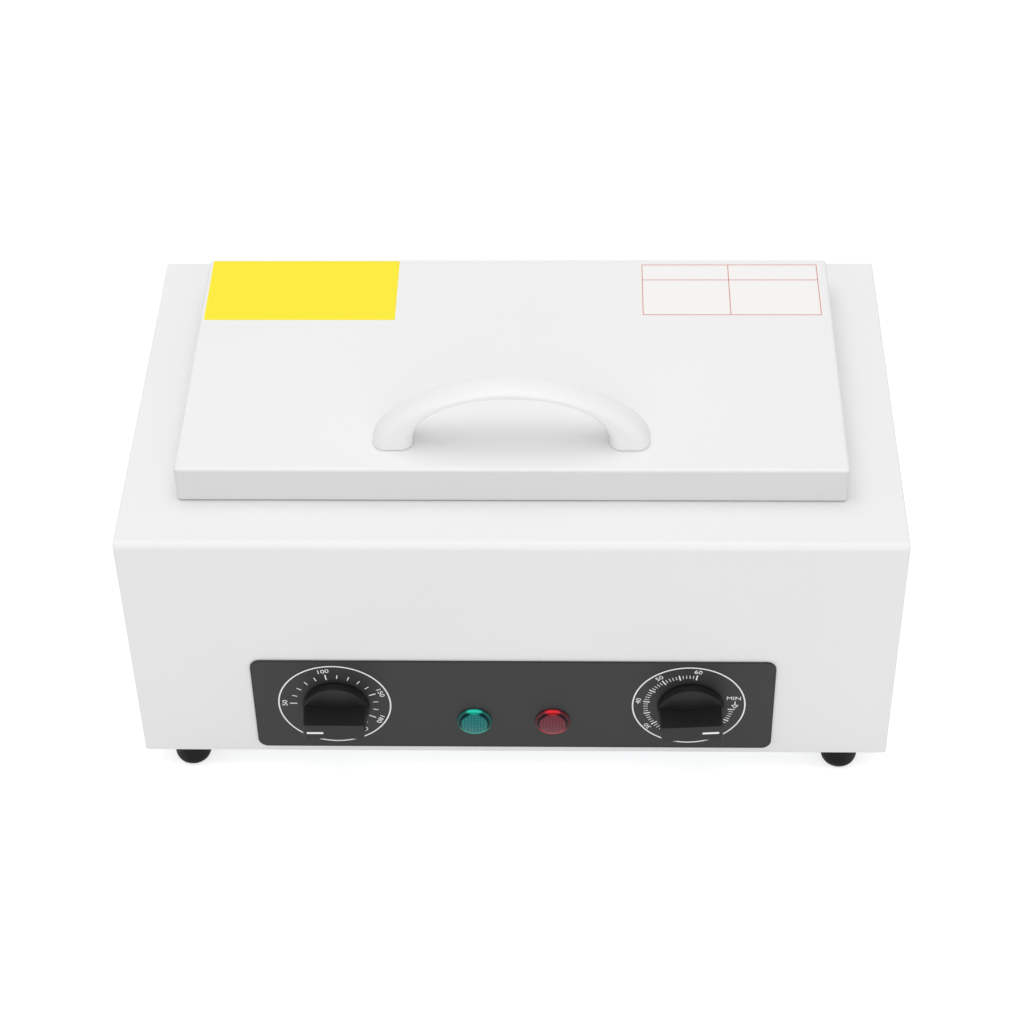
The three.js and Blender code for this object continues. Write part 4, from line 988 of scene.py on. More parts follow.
class Shaping:
    """Edit-mode work on one piece, from entry to exit of a with block."""

    def __init__(self, piece: bpy.types.Object, pick: Pick) -> None:
        """Names the work.

        Args:
            piece: the piece to work on.
            pick: what is selected.
        """
        self.piece = piece
        self.pick = pick

    def __enter__(self) -> "Shaping":
        """Opens edit mode with nothing selected."""
        Bench.hold(self.piece)
        bpy.ops.object.mode_set(mode="EDIT")
        bpy.ops.mesh.select_mode(type=self.pick.value)
        bpy.ops.mesh.select_all(action="DESELECT")
        return self

    def __exit__(self, *failure: Any) -> None:
        """Goes back to object mode."""
        bpy.ops.object.mode_set(mode="OBJECT")

    def pick_all(self) -> None:
        """Selects everything."""
        bpy.ops.mesh.select_all(action="SELECT")

    def pick_where(self, test: Callable[[Any], bool]) -> None:
        """Selects only the elements that pass a test.

        Args:
            test: is given a vertex, edge or face.
        """
        bpy.ops.mesh.select_all(action="DESELECT")
        mesh = bmesh.from_edit_mesh(self.piece.data)
        parts = {Pick.VERTS: mesh.verts, Pick.EDGES: mesh.edges, Pick.FACES: mesh.faces}[self.pick]
        for part in filter(test, parts):
            part.select_set(True)
        mesh.select_flush_mode()
        bmesh.update_edit_mesh(self.piece.data)


def near(value: float, target: float, slack: float = 0.02) -> bool:
    """Tells whether a length in metres is a given length in millimetres, within a slack in millimetres."""
    return abs(value / MM - target) < slack


def both(edge: bmesh.types.BMEdge, test: Callable[[Vector], bool]) -> bool:
    """Tells whether both ends of an edge pass a test."""
    return all(test(vert.co) for vert in edge.verts)


def keeps(edge: bmesh.types.BMEdge, axis: int) -> bool:
    """Tells whether an edge keeps its place along an axis, from 0 for X to 2 for Z."""
    first, last = (vert.co[axis] for vert in edge.verts)
    return near(first, last / MM)


def at(x: float, y: float, z: float) -> Matrix:
    """Gives a shift to a place in millimetres."""
    return Matrix.Translation((x * MM, y * MM, z * MM))


def facing_front(x: float, y: float, z: float, turn: float = 0.0) -> Matrix:
    """Gives the place of a piece drawn in X and Y that is to face the front.

    Args:
        x: the place across, in millimetres.
        y: the place from front to back, in millimetres.
        z: the level, in millimetres.
        turn: how far it is turned as seen from the front, anticlockwise, in degrees.

    Returns:
        The matrix: the piece's Z looks to the front and its Y up.
    """
    return at(x, y, z) @ Matrix.Rotation(math.radians(-turn), 4, "Y") @ UPRIGHT


@dataclass(frozen=True)
class Controls:
    """The places of the shafts and the lamps in the front, and their holes, in millimetres."""

    dial_x: float = 79.8
    dial_z: float = 44.2
    lamp_x: float = 17.7
    lamp_z: float = 34.5
    shaft_hole: float = 3.3
    lamp_hole: float = 5.8

    def hole_tools(self, face: float, lamp_sides: int) -> list[bpy.types.Object]:
        """Makes the tools that cut the four holes through a sheet.

        Args:
            face: where the sheet's front is, in millimetres.
            lamp_sides: the number of sides of a lamp's hole.

        Returns:
            The tools: a shaft's and a lamp's on the left, then the same on the right.
        """
        tools = []
        for side in (-1, 1):
            shaft = facing_front(side * self.dial_x, face + OVERRUN, self.dial_z)
            lamp = facing_front(side * self.lamp_x, face + OVERRUN, self.lamp_z)
            tools.append(Bench.rod("shaft_tool", self.shaft_hole, 2 * OVERRUN, HOLE_SIDES, shaft))
            tools.append(Bench.rod("lamp_tool", self.lamp_hole, 2 * OVERRUN, lamp_sides, lamp))
        return tools


CONTROLS = Controls()


class Workshop:
    """Keeps the rack of finishes, and sets each piece on its body with a line in the log."""

    def __init__(self) -> None:
        """Starts with an empty rack."""
        self.rack = FinishRack()

    def fit(
        self, piece: bpy.types.Object, body: Body, slot: Slot, finish: Finish, *replaces: str
    ) -> None:
        """Finishes a new piece and sets it on its body.

        Args:
            piece: the piece.
            body: the body that it rides on.
            slot: the record's slot; it is not used.
            finish: its finish.
            replaces: the nodes of the frame that it stands for.
        """
        self.rack.dress(piece, finish)
        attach(piece, body.value)
        if replaces:
            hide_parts(*replaces)
        log.info("%s rides on %s, %d faces", piece.name, body.value, len(piece.data.polygons))

    def dress_nodes(self, finish: Finish, *names: str) -> None:
        """Puts a finish on nodes of the frame whose shape is right as it is.

        Args:
            finish: the finish.
            names: the nodes.
        """
        for name in names:
            self.rack.dress(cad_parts[name], finish)
            log.info("%s keeps its shape, in %s", name, finish.name)

    def smoothed(self, node: str, body: Body, slot: Slot, finish: Finish) -> None:
        """Stands a smoothly shaded copy in for a node of the frame.

        Args:
            node: the node.
            body: the body that it is on.
            slot: the record's slot.
            finish: its finish.
        """
        piece = Bench.copy(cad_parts[node], f"{node}_smooth", Matrix.Identity(4))
        for key in [key for key in piece.keys() if key.startswith("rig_")]:
            del piece[key]
        piece.parent = None
        Bench.weld(piece, reach=0.002, angle=0.5)
        Bench.smooth(piece, angle=46.0)
        self.fit(piece, body, slot, finish, node)


@dataclass
class Cabinet:
    """The painted cabinet: front, top and sides in one folded sheet, in millimetres."""

    half_width: float = 170.0
    front: float = -91.65
    back: float = 106.35
    bottom: float = 13.0
    top: float = 142.5
    sheet: float = 1.0
    front_fold: float = 3.5
    side_fold: float = 1.2
    fold_steps: int = 7
    side_fold_steps: int = 3
    mouth_width: float = 260.2
    mouth_depth: float = 119.7
    mouth_corner: float = 14.0
    mouth_middle: float = 11.1
    mouth_steps: int = 8
    flange: float = 12.0
    flange_setback: float = 1.3
    flange_foot: float = 9.3

    def shell(self) -> bpy.types.Object:
        """Folds the shell from a box, gives it its wall and cuts its openings.

        Returns:
            The shell.
        """
        low = (-self.half_width, self.front, self.bottom)
        piece = Bench.block("cabinet_shell", low, (self.half_width, self.back, self.top))
        with Shaping(piece, Pick.EDGES) as work:
            work.pick_where(lambda e: both(e, lambda p: near(p.y, self.front) and near(p.z, self.top)))
            bpy.ops.mesh.bevel(offset=self.front_fold * MM, segments=self.fold_steps)
            work.pick_where(self._is_side_fold)
            bpy.ops.mesh.bevel(offset=self.side_fold * MM, segments=self.side_fold_steps)
        with Shaping(piece, Pick.FACES) as work:
            work.pick_where(lambda f: f.normal.z < -0.9 or f.normal.y > 0.9)
            bpy.ops.mesh.delete(type="FACE")
        Bench.thicken(piece, self.sheet)
        Bench.cut(piece, *self._openings())
        Bench.smooth(piece, angle=30.0)
        return Bench.join("cabinet_shell", [piece, *self._flanges()])

    def _is_side_fold(self, edge: bmesh.types.BMEdge) -> bool:
        """Tells whether an edge is on a side's outline, apart from its bottom and back."""
        return (
            both(edge, lambda p: near(abs(p.x), self.half_width))
            and edge.verts[0].co.x * edge.verts[1].co.x > 0
            and not both(edge, lambda p: near(p.z, self.bottom))
            and not both(edge, lambda p: near(p.y, self.back))
        )

    def _openings(self) -> list[bpy.types.Object]:
        """Returns the tools for the chamber's mouth and for the holes in the front."""
        half_width, half_depth = self.mouth_width / 2, self.mouth_depth / 2
        low = (-half_width, self.mouth_middle - half_depth, self.top - OVERRUN)
        high = (half_width, self.mouth_middle + half_depth, self.top + OVERRUN)
        mouth = Bench.block("mouth_tool", low, high)
        with Shaping(mouth, Pick.EDGES) as work:
            work.pick_where(lambda e: keeps(e, 0) and not keeps(e, 2))
            bpy.ops.mesh.bevel(offset=self.mouth_corner * MM, segments=self.mouth_steps)
        return [mouth, *CONTROLS.hole_tools(self.front, HOLE_SIDES)]

    def _flanges(self) -> list[bpy.types.Object]:
        """Returns the upright flanges that the rear panel is screwed to."""
        back = self.back - self.flange_setback
        outer = self.half_width - self.sheet
        inner = outer - self.flange
        return [
            Bench.block(
                "rear_flange",
                (left, back - self.sheet, self.bottom + self.flange_foot),
                (right, back, self.top - self.sheet),
            )
            for left, right in ((-outer, -inner), (inner, outer))
        ]

    def build(self, shop: Workshop) -> None:
        """Builds and finishes the cabinet's sheets.

        Args:
            shop: the workshop.
        """
        shop.fit(self.shell(), Body.CABINET, Slot.WHITE_PAINT, WHITE_PAINT, "case_shell")
        shop.dress_nodes(WHITE_PAINT, "rear_panel")
        shop.dress_nodes(GALVANISED, "base_plate")


@dataclass
class Feet:
    """Four rubber feet, each rounding in to a hollow sole, in millimetres."""

    across: float = 149.5
    front: float = -82.65
    rear: float = 97.35
    radius: float = 8.3
    sole: float = 5.2
    height: float = 12.7
    rounding: float = 5.0
    chamfer: float = 0.5
    hollow: float = 3.6
    hollow_depth: float = 6.0
    bore: float = 2.1
    facets: int = 6
    steps: int = 56

    def profile(self) -> list[Spot]:
        """Returns the foot's section, as radius and level."""
        turns = [math.radians(90 * step / self.facets) for step in range(1, self.facets + 1)]
        side = [
            (self.sole + (self.radius - self.sole) * math.sin(turn), self.rounding * (1 - math.cos(turn)))
            for turn in turns
        ]
        return [
            (self.hollow, 0.0),
            (self.sole, 0.0),
            *side,
            (self.radius, self.height - self.chamfer),
            (self.radius - self.chamfer, self.height),
            (self.bore, self.height),
            (self.bore, self.hollow_depth),
            (self.hollow, self.hollow_depth),
            (self.hollow, 0.0),
        ]

    def build(self, shop: Workshop) -> None:
        """Turns one foot and copies it to the four corners.

        Args:
            shop: the workshop.
        """
        first = Bench.turning("rubber_foot", self.profile(), self.steps, Matrix.Identity(4))
        Bench.smooth(first, angle=40.0)
        for end, y in (("front", self.front), ("rear", self.rear)):
            for side, x in (("left", -self.across), ("right", self.across)):
                foot = Bench.copy(first, f"rubber_foot_{end}_{side}", at(x, y, 0.0))
                shop.fit(foot, Body.CABINET, Slot.RUBBER, FOOT_RUBBER, f"foot_{end}_{side}")
        bpy.data.objects.remove(first)


# A pan head's outline, as shares of its radius and of its height.
PAN_HEAD_SHARES = ((1.0, 0.0), (1.0, 0.3), (0.93, 0.62), (0.72, 0.88), (0.42, 1.0))


@dataclass
class Screws:
    """Cross-head screws of one kind, in millimetres: modelled once and copied."""

    name: str
    shank: float
    head: float
    cap: float
    length: float
    countersunk: bool = False
    rim: float = 0.15
    land: float = 0.12
    point: float = 0.5
    point_share: float = 0.6
    reach_share: float = 0.6
    wing_share: float = 0.14
    recess_share: float = 0.45
    taper_share: float = 0.7
    overrun: float = 1.0
    steps: int = 28

    def model(self) -> bpy.types.Object:
        """Turns one screw along Z with the underside of its head at zero, and cuts its cross.

        Returns:
            The screw.
        """
        if self.countersunk:
            top = 0.0
            edge = self.head - self.rim
            slope = [(self.shank, -self.cap), (edge, -self.land), (edge, top)]
        else:
            top = self.cap
            slope = [(self.shank, 0.0), *((self.head * r, self.cap * z) for r, z in PAN_HEAD_SHARES)]
        end = -self.length
        tip = [(0.0, end), (self.point_share * self.shank, end), (self.shank, end + self.point)]
        piece = Bench.turning(self.name, [*tip, *slope, (0.0, top)], self.steps, Matrix.Identity(4))
        reach = self.reach_share * self.head
        wing = self.wing_share * self.head
        deep = top - self.recess_share * self.cap
        taper = (self.taper_share, self.taper_share, 1.0)
        for across, along in ((reach, wing), (wing, reach)):
            tool = Bench.block("cross_tool", (-across, -along, deep), (across, along, top + self.overrun))
            with Shaping(tool, Pick.FACES) as work:
                work.pick_where(lambda f: f.normal.z < -0.9)
                bpy.ops.transform.resize(value=taper, center_override=(0.0, 0.0, deep * MM))
            Bench.cut(piece, tool)
        Bench.smooth(piece, angle=35.0)
        return piece

    def build(self, shop: Workshop, body: Body, places: dict[str, Matrix]) -> None:
        """Copies the screw to its places.

        Args:
            shop: the workshop.
            body: the body that the screws are in.
            places: where each goes, by the node that it stands for.
        """
        first = self.model()
        for node, place in places.items():
            screw = Bench.copy(first, f"{node}_cross_head", place)
            shop.fit(screw, body, Slot.ZINC, ZINC, node)
        bpy.data.objects.remove(first)


@dataclass
class Lid:
    """The painted lid: a pressed box with a hem round its lower edge, in millimetres."""

    half_width: float = 145.0
    front: float = -63.65
    back: float = 85.85
    bottom: float = 143.1
    top: float = LID_TOP
    sheet: float = 1.0
    corner: float = 1.8
    corner_steps: int = 6
    top_round: float = 1.6
    top_steps: int = 5
    foot_round: float = 0.35
    foot_steps: int = 3
    hem: float = 3.6
    hem_corner: float = 1.6
    hem_gap: float = 0.02
    hem_rise: float = 0.1
    hem_round: float = 0.3

    def skin(self) -> bpy.types.Object:
        """Presses the skin from a box and folds its hem.

        Returns:
            The skin.
        """
        low = (-self.half_width, self.front, self.bottom)
        piece = Bench.block("lid_skin", low, (self.half_width, self.back, self.top))
        with Shaping(piece, Pick.EDGES) as work:
            work.pick_where(lambda e: not keeps(e, 2))
            bpy.ops.mesh.bevel(offset=self.corner * MM, segments=self.corner_steps)
            work.pick_where(lambda e: both(e, lambda p: near(p.z, self.top)))
            bpy.ops.mesh.bevel(offset=self.top_round * MM, segments=self.top_steps)
        with Shaping(piece, Pick.FACES) as work:
            work.pick_where(lambda f: f.normal.z < -0.9)
            bpy.ops.mesh.delete(type="FACE")
        Bench.thicken(piece, self.sheet)
        with Shaping(piece, Pick.EDGES) as work:
            work.pick_where(self._is_lower_edge)
            bpy.ops.mesh.bevel(offset=self.foot_round * MM, segments=self.foot_steps)
        Bench.smooth(piece, angle=34.0)
        return Bench.join("lid_skin", [piece, self._hem_fold()])

    def _is_lower_edge(self, edge: bmesh.types.BMEdge) -> bool:
        """Tells whether an edge is the outer one of the lid's lower rim."""
        across = max(abs(vert.co.x) / MM - self.half_width for vert in edge.verts)
        ahead = max(self.front - vert.co.y / MM for vert in edge.verts)
        behind = max(vert.co.y / MM - self.back for vert in edge.verts)
        return (
            both(edge, lambda p: near(p.z, self.bottom))
            and max(across, ahead, behind) > -0.9 * self.sheet
            and len(edge.link_faces) == 2
            and any(abs(face.normal.z) < 0.1 for face in edge.link_faces)
        )

    def _hem_fold(self) -> bpy.types.Object:
        """Returns the part of the hem that is folded up inside the skin."""
        inset = self.sheet + self.hem_gap
        width, depth = 2 * (self.half_width - inset), self.back - self.front - 2 * inset
        place = at(0.0, (self.front + self.back) / 2, self.bottom + self.hem_rise)
        ring = Bench.plate("lid_hem", width, depth, self.hem_corner, self.corner_steps, place)
        Bench.frame_out(ring, self.sheet)
        Bench.thicken(ring, self.hem, offset=1.0)
        Bench.round_edges(ring, self.hem_round)
        Bench.smooth(ring, angle=34.0)
        return ring

    def build(self, shop: Workshop) -> None:
        """Builds and finishes the lid's skin and what is under it.

        Args:
            shop: the workshop.
        """
        shop.fit(self.skin(), Body.LID, Slot.WHITE_PAINT, LID_PAINT, "lid_shell")
        shop.smoothed("lid_inner_plate", Body.LID, Slot.STAINLESS, STAINLESS)
        shop.smoothed("lid_gasket", Body.LID, Slot.SILICONE, SILICONE)
        shop.dress_nodes(WOOL, "lid_insulation")


@dataclass
class Labels:
    """Two blank labels on the lid: one yellow, one white with thin red lines, in millimetres."""

    sheet: float = 0.08
    glue: float = 0.01
    corner: float = 0.8
    corner_share: float = 0.2
    corner_steps: int = 4
    yellow_low: Spot = (-143.0, 39.4)
    yellow_high: Spot = (-55.2, 83.8)
    white_low: Spot = (57.6, 42.4)
    white_high: Spot = (141.0, 81.6)
    margin: float = 0.8
    header: float = 69.3
    divider: float = 98.7
    line: float = 0.35

    def patch(self, name: str, low: Spot, high: Spot, rise: float) -> bpy.types.Object:
        """Makes one thin patch with small round corners.

        Args:
            name: the piece's name.
            low: its front left corner, in millimetres.
            high: its rear right corner, in millimetres.
            rise: how far above the lid it starts, in millimetres.

        Returns:
            The patch.
        """
        x, y = ((a + b) / 2 for a, b in zip(low, high))
        width, depth = (b - a for a, b in zip(low, high))
        corner = min(self.corner, self.corner_share * min(width, depth))
        piece = Bench.plate(name, width, depth, corner, self.corner_steps, at(x, y, LID_TOP + rise))
        Bench.thicken(piece, self.sheet, offset=1.0)
        return piece

    def build(self, shop: Workshop) -> None:
        """Lays the labels on the lid.

        Args:
            shop: the workshop.
        """
        yellow = self.patch("blank_yellow_label", self.yellow_low, self.yellow_high, self.glue)
        white = self.patch("blank_white_label", self.white_low, self.white_high, self.glue)
        shop.fit(yellow, Body.LID, Slot.WHITE_PAINT, YELLOW_VINYL)
        shop.fit(white, Body.LID, Slot.WHITE_PAINT, WHITE_VINYL)
        left, front = (edge + self.margin for edge in self.white_low)
        right, rear = (edge - self.margin for edge in self.white_high)
        half = self.line / 2
        rise = self.glue + self.sheet
        lines = [
            self.patch("line", (left, y - half), (right, y + half), rise) for y in (front, self.header, rear)
        ]
        lines += [
            self.patch("line", (x - half, front + half), (x + half, rear - half), rise)
            for x in (left + half, self.divider, right - half)
        ]
        shop.fit(Bench.join("white_label_lines", lines), Body.LID, Slot.WHITE_PAINT, RED_INK)


@dataclass
class Handle:
    """The bow handle: round-cornered sections set along an arch and bridged, in millimetres."""

    middle_y: float = -42.85
    foot_level: float = 161.0
    inner_half: float = 42.5
    inner_rise: float = 27.2
    inner_power: float = 2.2
    outer_half: float = 60.0
    outer_rise: float = 31.0
    outer_power: float = 1.7
    middle_depth: float = 14.0
    foot_depth: float = 17.0
    foot_power: float = 4.0
    middle_round: float = 0.8
    foot_round: float = 5.6
    dome_run: float = 6.2
    middle_drop_share: float = 0.62
    foot_drop_share: float = 0.52
    round_steps: int = 7
    stations: int = 72

    def arch_point(self, half: float, rise: float, power: float, angle: float) -> Vector:
        """Gives a point of a superellipse.

        Args:
            half: half its span.
            rise: its height.
            power: its power.
            angle: from 0 at the right foot to half a turn at the left foot.

        Returns:
            The point, in X and Z.
        """
        across, up = math.cos(angle), max(math.sin(angle), 0.0)
        grow = (abs(across) ** power + up**power) ** (-1 / power)
        return Vector((half * across * grow, 0.0, rise * up * grow))

    def section(self, number: int) -> bpy.types.Object:
        """Makes one section of the arch.

        Args:
            number: its place in the row of sections.

        Returns:
            The section, a plane with rounded corners, square to the arch.
        """
        angle = math.pi * number / self.stations
        inner = self.arch_point(self.inner_half, self.inner_rise, self.inner_power, angle)
        outer = self.arch_point(self.outer_half, self.outer_rise, self.outer_power, angle)
        share = abs(math.cos(angle)) ** self.foot_power
        depth = self.middle_depth + (self.foot_depth - self.middle_depth) * share
        thickness = (outer - inner).length
        tilt = math.atan2(outer.z - inner.z, outer.x - inner.x)
        middle = (inner + outer) / 2
        turn = Matrix.Rotation(-tilt, 4, "Y") @ Matrix.Rotation(math.pi, 4, "X")
        place = at(middle.x, self.middle_y, self.foot_level + middle.z) @ turn
        return self.outline(thickness, depth, share, place)

    def outline(self, thickness: float, depth: float, share: float, place: Matrix) -> bpy.types.Object:
        """Draws a section: a flat inner side and a domed outer side, rounder at the feet.

        Args:
            thickness: its size from the inner to the outer side.
            depth: its size from front to back.
            share: 0 in the arch's middle, 1 at a foot.
            place: where it goes, its X pointing outwards.

        Returns:
            The section, a flat face.
        """
        outer_run = self.dome_run + (self.foot_round - self.dome_run) * share
        drop_share = self.middle_drop_share + (self.foot_drop_share - self.middle_drop_share) * share
        outer_drop = min(outer_run, thickness * drop_share)
        inner = self.middle_round + (self.foot_round - self.middle_round) * share
        flatten = outer_run / outer_drop
        bpy.ops.object.select_all(action="DESELECT")
        bpy.ops.mesh.primitive_plane_add(size=1.0)
        piece = bpy.context.object
        piece.name = "section"
        piece.scale = (thickness * flatten * MM, depth * MM, 1.0)
        Bench.settle(piece)
        with Shaping(piece, Pick.VERTS) as work:
            work.pick_where(lambda v: v.co.x > 0)
            bpy.ops.mesh.bevel(affect="VERTICES", offset=outer_run * MM, segments=self.round_steps)
            work.pick_where(lambda v: near(v.co.x, -thickness * flatten / 2, 0.001))
            bpy.ops.mesh.bevel(affect="VERTICES", offset=inner * MM, segments=self.round_steps)
            work.pick_all()
            bpy.ops.transform.resize(value=(1 / flatten, 1.0, 1.0), center_override=(0.0, 0.0, 0.0))
        piece.matrix_world = place
        return Bench.settle(piece)

    def build(self, shop: Workshop) -> None:
        """Sets the sections along the arch and bridges them.

        Args:
            shop: the workshop.
        """
        sections = [self.section(number) for number in range(self.stations + 1)]
        count = len(sections[0].data.vertices)
        piece = Bench.join("bow_handle", sections)
        with Shaping(piece, Pick.FACES) as work:
            work.pick_all()
            bpy.ops.mesh.delete(type="ONLY_FACE")
        for number in range(self.stations):
            rings = ({number}, {number + 1})
            with Shaping(piece, Pick.EDGES) as work:
                work.pick_where(lambda e: {v.index // count for v in e.verts} in rings)
                bpy.ops.mesh.bridge_edge_loops()
        with Shaping(piece, Pick.EDGES) as work:
            work.pick_where(lambda e: e.is_boundary)
            bpy.ops.mesh.edge_face_add()
            work.pick_all()
            bpy.ops.mesh.normals_make_consistent(inside=False)
        Bench.smooth(piece, angle=50.0)
        shop.fit(piece, Body.LID, Slot.WHITE_PLASTIC, HANDLE_PLASTIC, "lid_handle")


@dataclass
class Fascia:
    """The dark control plate on the cabinet's front, in millimetres."""

    half_width: float = 117.0
    bottom: float = 16.8
    top: float = 72.4
    face: float = PANEL_FACE
    sheet: float = 0.8
    corner: float = 4.5
    corner_steps: int = 10
    edge: float = 0.22
    edge_steps: int = 2
    lamp_sides: int = 40
    # A thin dark line just inside the plate's edge: its inset, width and depth.
    border_inset: float = 0.25
    border: float = 0.45
    border_ink: float = 0.03

    def outline(self, name: str, inset: float, lift: float) -> bpy.types.Object:
        """Draws the plate's outline as a flat face that looks to the front.

        Args:
            name: the piece's name.
            inset: how far it stays inside the plate's edge.
            lift: how far it stands before the plate's face.

        Returns:
            The face.
        """
        width = 2 * (self.half_width - inset)
        height = self.top - self.bottom - 2 * inset
        place = facing_front(0.0, self.face - lift, (self.bottom + self.top) / 2)
        return Bench.plate(name, width, height, self.corner - inset, self.corner_steps, place)

    def build(self, shop: Workshop) -> None:
        """Cuts the plate out with its holes, and lays a thin dark line round its edge.

        Args:
            shop: the workshop.
        """
        piece = self.outline("fascia_plate", 0.0, 0.0)
        Bench.thicken(piece, self.sheet)
        with Shaping(piece, Pick.EDGES) as work:
            work.pick_where(lambda e: both(e, lambda p: near(p.y, self.face)))
            bpy.ops.mesh.bevel(offset=self.edge * MM, segments=self.edge_steps)
        Bench.cut(piece, *CONTROLS.hole_tools(self.face, self.lamp_sides))
        Bench.smooth(piece, angle=40.0)
        shop.fit(piece, Body.CABINET, Slot.FASCIA, FASCIA_FILM, "control_fascia")
        border = self.outline("fascia_border", self.border_inset, PRINT_LIFT)
        Bench.frame_out(border, self.border)
        Bench.thicken(border, self.border_ink, offset=1.0)
        shop.fit(border, Body.CABINET, Slot.FASCIA, DARK_EDGE_LINE)


@dataclass(frozen=True)
class Tick:
    """One kind of printed tick: its two ends, from the dial's middle, and its width."""

    inner: float
    outer: float
    width: float


@dataclass(frozen=True)
class Figure:
    """A printed figure: what it says, its clock angle, its distance from the middle, its height."""

    words: str
    clock: float
    radius: float
    height: float


@dataclass
class DialPrint:
    """The white printing round one knob: a ring, ticks by clock angle and figures, in millimetres."""

    name: str
    x: float
    ticks: list[tuple[float, Tick]]
    figures: list[Figure]
    z: float = 44.75
    ink: float = 0.04
    ring: float = 25.2
    ring_rise: float = 0.3
    ring_steps: int = 128
    stroke: float = 0.65
    squeeze: float = 0.965
    end_share: float = 0.22
    end_steps: int = 2

    def flat(self, across: float, up: float, turn: float = 0.0) -> Matrix:
        """Returns the place of a print, by its slightly flattened distance from the dial's middle."""
        return facing_front(self.x + across, PANEL_FACE - PRINT_LIFT, self.z + self.squeeze * up, turn)

    def circle(self) -> bpy.types.Object:
        """Returns the printed ring."""
        outer = self.ring + self.stroke / 2
        bpy.ops.object.select_all(action="DESELECT")
        bpy.ops.mesh.primitive_circle_add(vertices=self.ring_steps, radius=outer * MM, fill_type="NGON")
        piece = bpy.context.object
        Bench.frame_out(piece, self.stroke)
        piece.matrix_world = self.flat(0.0, self.ring_rise) @ Matrix.Diagonal((1.0, self.squeeze, 1.0, 1.0))
        Bench.settle(piece)
        Bench.thicken(piece, self.ink, offset=1.0)
        return piece

    def stroke_between(self, start: Spot, end: Spot, width: float) -> bpy.types.Object:
        """Prints a straight stroke.

        Args:
            start: its start, across and up from the middle.
            end: its end.
            width: its width.

        Returns:
            The stroke.
        """
        across, up = end[0] - start[0], end[1] - start[1]
        turn = math.degrees(math.atan2(up, across))
        place = self.flat((start[0] + end[0]) / 2, (start[1] + end[1]) / 2, turn)
        length, corner = math.hypot(across, up), self.end_share * width
        piece = Bench.plate("stroke", length, width, corner, self.end_steps, place)
        Bench.thicken(piece, self.ink, offset=1.0)
        return piece

    def tick(self, clock: float, kind: Tick) -> bpy.types.Object:
        """Returns a tick's stroke at a clock angle."""
        turn = math.radians(clock)
        start, end = ((r * math.sin(turn), r * math.cos(turn)) for r in (kind.inner, kind.outer))
        return self.stroke_between(start, end, kind.width)

    def figure(self, figure: Figure) -> bpy.types.Object:
        """Returns a figure, its top looking outwards."""
        turn = math.radians(figure.clock)
        across, up = figure.radius * math.sin(turn), figure.radius * math.cos(turn)
        place = self.flat(across, up, -figure.clock)
        return Bench.lettering("figure", figure.words, figure.height, self.ink, place)

    def extras(self) -> list[bpy.types.Object]:
        """Returns prints that only one dial has."""
        return []

    def build(self, shop: Workshop) -> None:
        """Prints the dial as one piece.

        Args:
            shop: the workshop.
        """
        prints = [self.circle()]
        prints += [self.tick(clock, kind) for clock, kind in self.ticks]
        prints += [self.figure(figure) for figure in self.figures]
        prints += self.extras()
        shop.fit(Bench.join(self.name, prints), Body.CABINET, Slot.FASCIA, WHITE_INK)


@dataclass
class TimerPrint(DialPrint):
    """The timer's printing, with the word for minutes and an arrow that points down."""

    word_x: float = 20.05
    word_z: float = 5.2
    word_height: float = 2.2
    arrow_x: float = 20.7
    arrow_top: float = 3.05
    arrow_head: float = 0.7
    arrow_tip: float = -1.3
    arrow_half: float = 1.5
    shaft_width: float = 0.5
    side_width: float = 0.45
    back_width: float = 0.4

    def extras(self) -> list[bpy.types.Object]:
        """Returns the word and the arrow."""
        word = Bench.lettering("word", "MIN", self.word_height, self.ink, self.flat(self.word_x, self.word_z))
        top, base, tip = ((self.arrow_x, z) for z in (self.arrow_top, self.arrow_head, self.arrow_tip))
        left, right = ((self.arrow_x + side * self.arrow_half, self.arrow_head) for side in (-1, 1))
        return [
            word,
            self.stroke_between(top, base, self.shaft_width),
            self.stroke_between(left, tip, self.side_width),
            self.stroke_between(right, tip, self.side_width),
            self.stroke_between(left, right, self.back_width),
        ]


def thermostat_print() -> DialPrint:
    """Lays out the thermostat's scale, a tick every 10 degrees from 50 to 180.

    Returns:
        The printing.
    """
    # The temperatures with a figure, and how far each figure is moved round, in degrees.
    shifts = {50: 0.0, 100: -1.5, 150: 0.0, 180: 0.0}
    first, last, step = 50, 180, 10
    first_clock, degree_clock = -87.6, 1.562
    figure_radius, figure_height = 22.4, 2.3
    long, short = Tick(16.9, 20.2, 0.58), Tick(17.5, 19.8, 0.44)
    clocks = {t: first_clock + degree_clock * (t - first) for t in range(first, last + step, step)}
    ticks = [(clock, long if t in shifts else short) for t, clock in clocks.items()]
    figures = [
        Figure(str(t), clocks[t] + shift, figure_radius, figure_height) for t, shift in shifts.items()
    ]
    unit = [Figure("o", 131.0, 18.4, 1.3), Figure("C", 142.0, 21.0, figure_height)]
    return DialPrint("thermostat_scale", x=-80.5, ticks=ticks, figures=figures + unit)


def timer_print() -> TimerPrint:
    """Lays out the timer's scale, a tick every minute from 0 to 60.

    Returns:
        The printing.
    """
    last, long_step, figure_step = 60, 5, 10
    first_clock, minute_clock = 96.6, 4.545
    figure_radius, figure_height = 22.8, 2.2
    long, short = Tick(17.7, 20.8, 0.6), Tick(18.4, 20.4, 0.32)
    clocks = [first_clock + minute_clock * minute for minute in range(last + 1)]
    ticks = [(clock, short if minute % long_step else long) for minute, clock in enumerate(clocks)]
    figures = [
        Figure(str(minute), clocks[minute], figure_radius, figure_height)
        for minute in range(figure_step, last + figure_step, figure_step)
    ]
    return TimerPrint("timer_scale", x=78.85, ticks=ticks, figures=figures)


